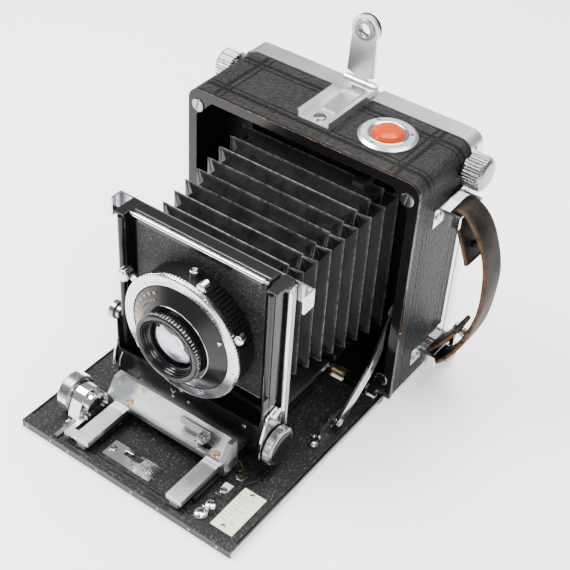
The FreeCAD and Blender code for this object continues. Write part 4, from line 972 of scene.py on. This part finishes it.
def make_focus_bracket():
    outline = [(-184.4, BED_TOP), (-184.4, 11), *arc_points(FOCUS_AXLE, 9.7, 165, 12), (-158.4, 11),
               (-158.4, BED_TOP)]
    prism("bracket_casting", outline, -60.0, -50.8, "x", CHROME, "bed", soft=0.7)
    prism("pinion_guard", arc_points(FOCUS_AXLE, 7.6, 200, -20), -50.9, -47.0, "x", CHROME, "bed",
          soft=0.5)
    # a thin black disc on the guard, painted as the shade inside the pinion hole
    lathe("pinion_hole_shade_disc", [(0, 2.9), (0.15, 2.7)], (-47.05, FOCUS_AXLE[0], FOCUS_AXLE[1] + 1.8), RIGHT,
          BLACK_DULL, "bed", slot="chrome", steps=32)
    lathe("pinion_boss", [(0, 2.6), (0, 5.6), (0.5, 6.2), (8.6, 6.2), (9.2, 5.6), (9.2, 2.6)],
          (-60.1, *FOCUS_AXLE), RIGHT, CHROME, "bed", steps=40)
    rod("bracket_bolt", (-55.4, -160.4, 7), (-55.4, -153.5, 7), 1.7, CHROME, "bed")
    prism("bracket_foot", [(-60.5, -186), (-51.4, -186), (-51.4, -152), (-60.5, -152)], BED_TOP,
          BED_TOP + 1.4, "z", CHROME, "bed", soft=0.4)
    for k, y in enumerate((-185, -154.2)):
        screw_head(f"bracket_screw_{k}", (-56, y, 6.4), UP, 1.3, "bed", turn=k + 0.5)


# ---- top and back trim ----

def make_body_trim():
    """Collar of the button, the sight's eye, and the fittings of the back."""
    lathe("button_collar", [(0, 11.2), (2.6, 11.2), (3.0, 11.8), (3.0, 12.6), (2.4, 13.2)],
          (RELEASE_X, RELEASE_Y, 170), UP, CHROME, "root")
    eyelet = bored("sight_eyelet", [(0, 5.0), (0, 6.6), (0.6, 7.2), (1.2, 7.0), (1.2, 5.9), (5.0, 5.9)],
                   [(-2, 4.3), (8, 4.3)], (0, 26.2, SIGHT_EYE_Z), REAR, STEEL, "sight", "brass", 48)
    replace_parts(eyelet, "sight_eyepiece")
    bored("sight_shade", [(0, 9.4), (2.2, 9.4), (2.6, 9.0)], [(-3, 6.1), (6, 6.1)], (0, 29.7, SIGHT_EYE_Z),
          REAR, BLACK_DULL, "sight", steps=48)
    bar("sight_spring", (-5.2, -6, 171.4), (5.2, 25, 172.2), ALUMINIUM, "root")
    for side, sign in SIDES:
        bar(f"back_groove_{side}", (sign * 85.4 - 0.35, 27.5, 6), (sign * 85.4 + 0.35, 29, 166), STEEL,
            "back", soft=0.1)
        lathe(f"back_clip_{side}", [(0, 4), (1.2, 4), (2.2, 3.2), (2.2, 1.2)], (sign * 60, 37, 9), REAR,
              NICKEL, "back", steps=32)
    for k, z in enumerate((40, 62, 84, 106, 128)):
        bar(f"hood_rib_{k}", (-44, 44.9, z - 0.8), (44, 45.5, z + 0.8), BLACK_DULL, "hood", soft=0.2)
    for k, z in enumerate((20, 58, 96, 128, 150)):
        lathe(f"edge_pin_{k}", [(0, 0.7), (0.3, 0.6), (0.45, 0.2)], (85.0, -34.8, z), RIGHT, BRASS, "root",
              steps=16)


make_bed_trim()
make_standard_trim()
make_focus_bracket()
make_body_trim()


# ---- stage, lights and camera ----

def studio():
    """A pale floor, three soft lights and an even sky."""
    mesh = bpy.data.meshes.new("floor")
    reach = 12.0
    mesh.from_pydata([(-reach, -reach, 0), (reach, -reach, 0), (reach, reach, 0), (-reach, reach, 0)], [],
                     [(0, 1, 2, 3)])
    floor = bpy.data.objects.new("floor", mesh)
    link(floor)
    f = Finish("pale_floor", roughness=0.6)
    f.shader.inputs["Emission Color"].default_value = (1, 1, 1, 1)
    f.shader.inputs["Emission Strength"].default_value = 0.62
    mesh.materials.append(f.done(f.colour(f.noise(400, 2), (0.91, 0.91, 0.915), (0.94, 0.94, 0.94))))

    def soft_light(name, at, size, power, aim=(0, -0.07, 0.08)):
        data = bpy.data.lights.new(name, "AREA")
        data.shape = "RECTANGLE"
        data.size, data.size_y = size
        data.energy = power
        light = bpy.data.objects.new(name, data)
        light.location = at
        light.rotation_euler = (Vector(aim) - Vector(at)).to_track_quat("-Z", "Y").to_euler()
        link(light)
    soft_light("key", (-0.75, -0.35, 1.15), (0.7, 0.7), 36)
    soft_light("fill", (0.95, -0.85, 0.95), (0.5, 0.6), 10)
    soft_light("top", (0.1, 0.35, 1.3), (1.3, 0.9), 42)
    world = bpy.data.worlds.new("studio")
    bpy.context.scene.world = world
    world.use_nodes = True
    sky = world.node_tree.nodes["Background"].inputs
    sky["Color"].default_value = (1, 1, 1, 1)
    sky["Strength"].default_value = 0.46


def camera():
    """The eye of the picture: above the lens side, turned a little about its own axis."""
    data = bpy.data.cameras.new("camera")
    data.sensor_width = 36
    data.lens = 77.45
    data.shift_x = -0.0025
    data.shift_y = 0.030
    data.clip_start = 0.01
    eye = bpy.data.objects.new("camera", data)
    azimuth, elevation, roll = radians(33.5), radians(41.1), radians(4.03)
    forward = Vector((-sin(azimuth) * cos(elevation), cos(azimuth) * cos(elevation),
                      -sin(elevation)))
    turn = forward.to_track_quat("-Z", "Y").to_matrix() @ Matrix.Rotation(roll, 3, "Z")
    eye.matrix_world = Matrix.Translation(Vector((338.5, -548.6, 573.2)) * MM) @ turn.to_4x4()
    link(eye)
    bpy.context.scene.camera = eye


studio()
camera()

bpy.context.view_layer.update()
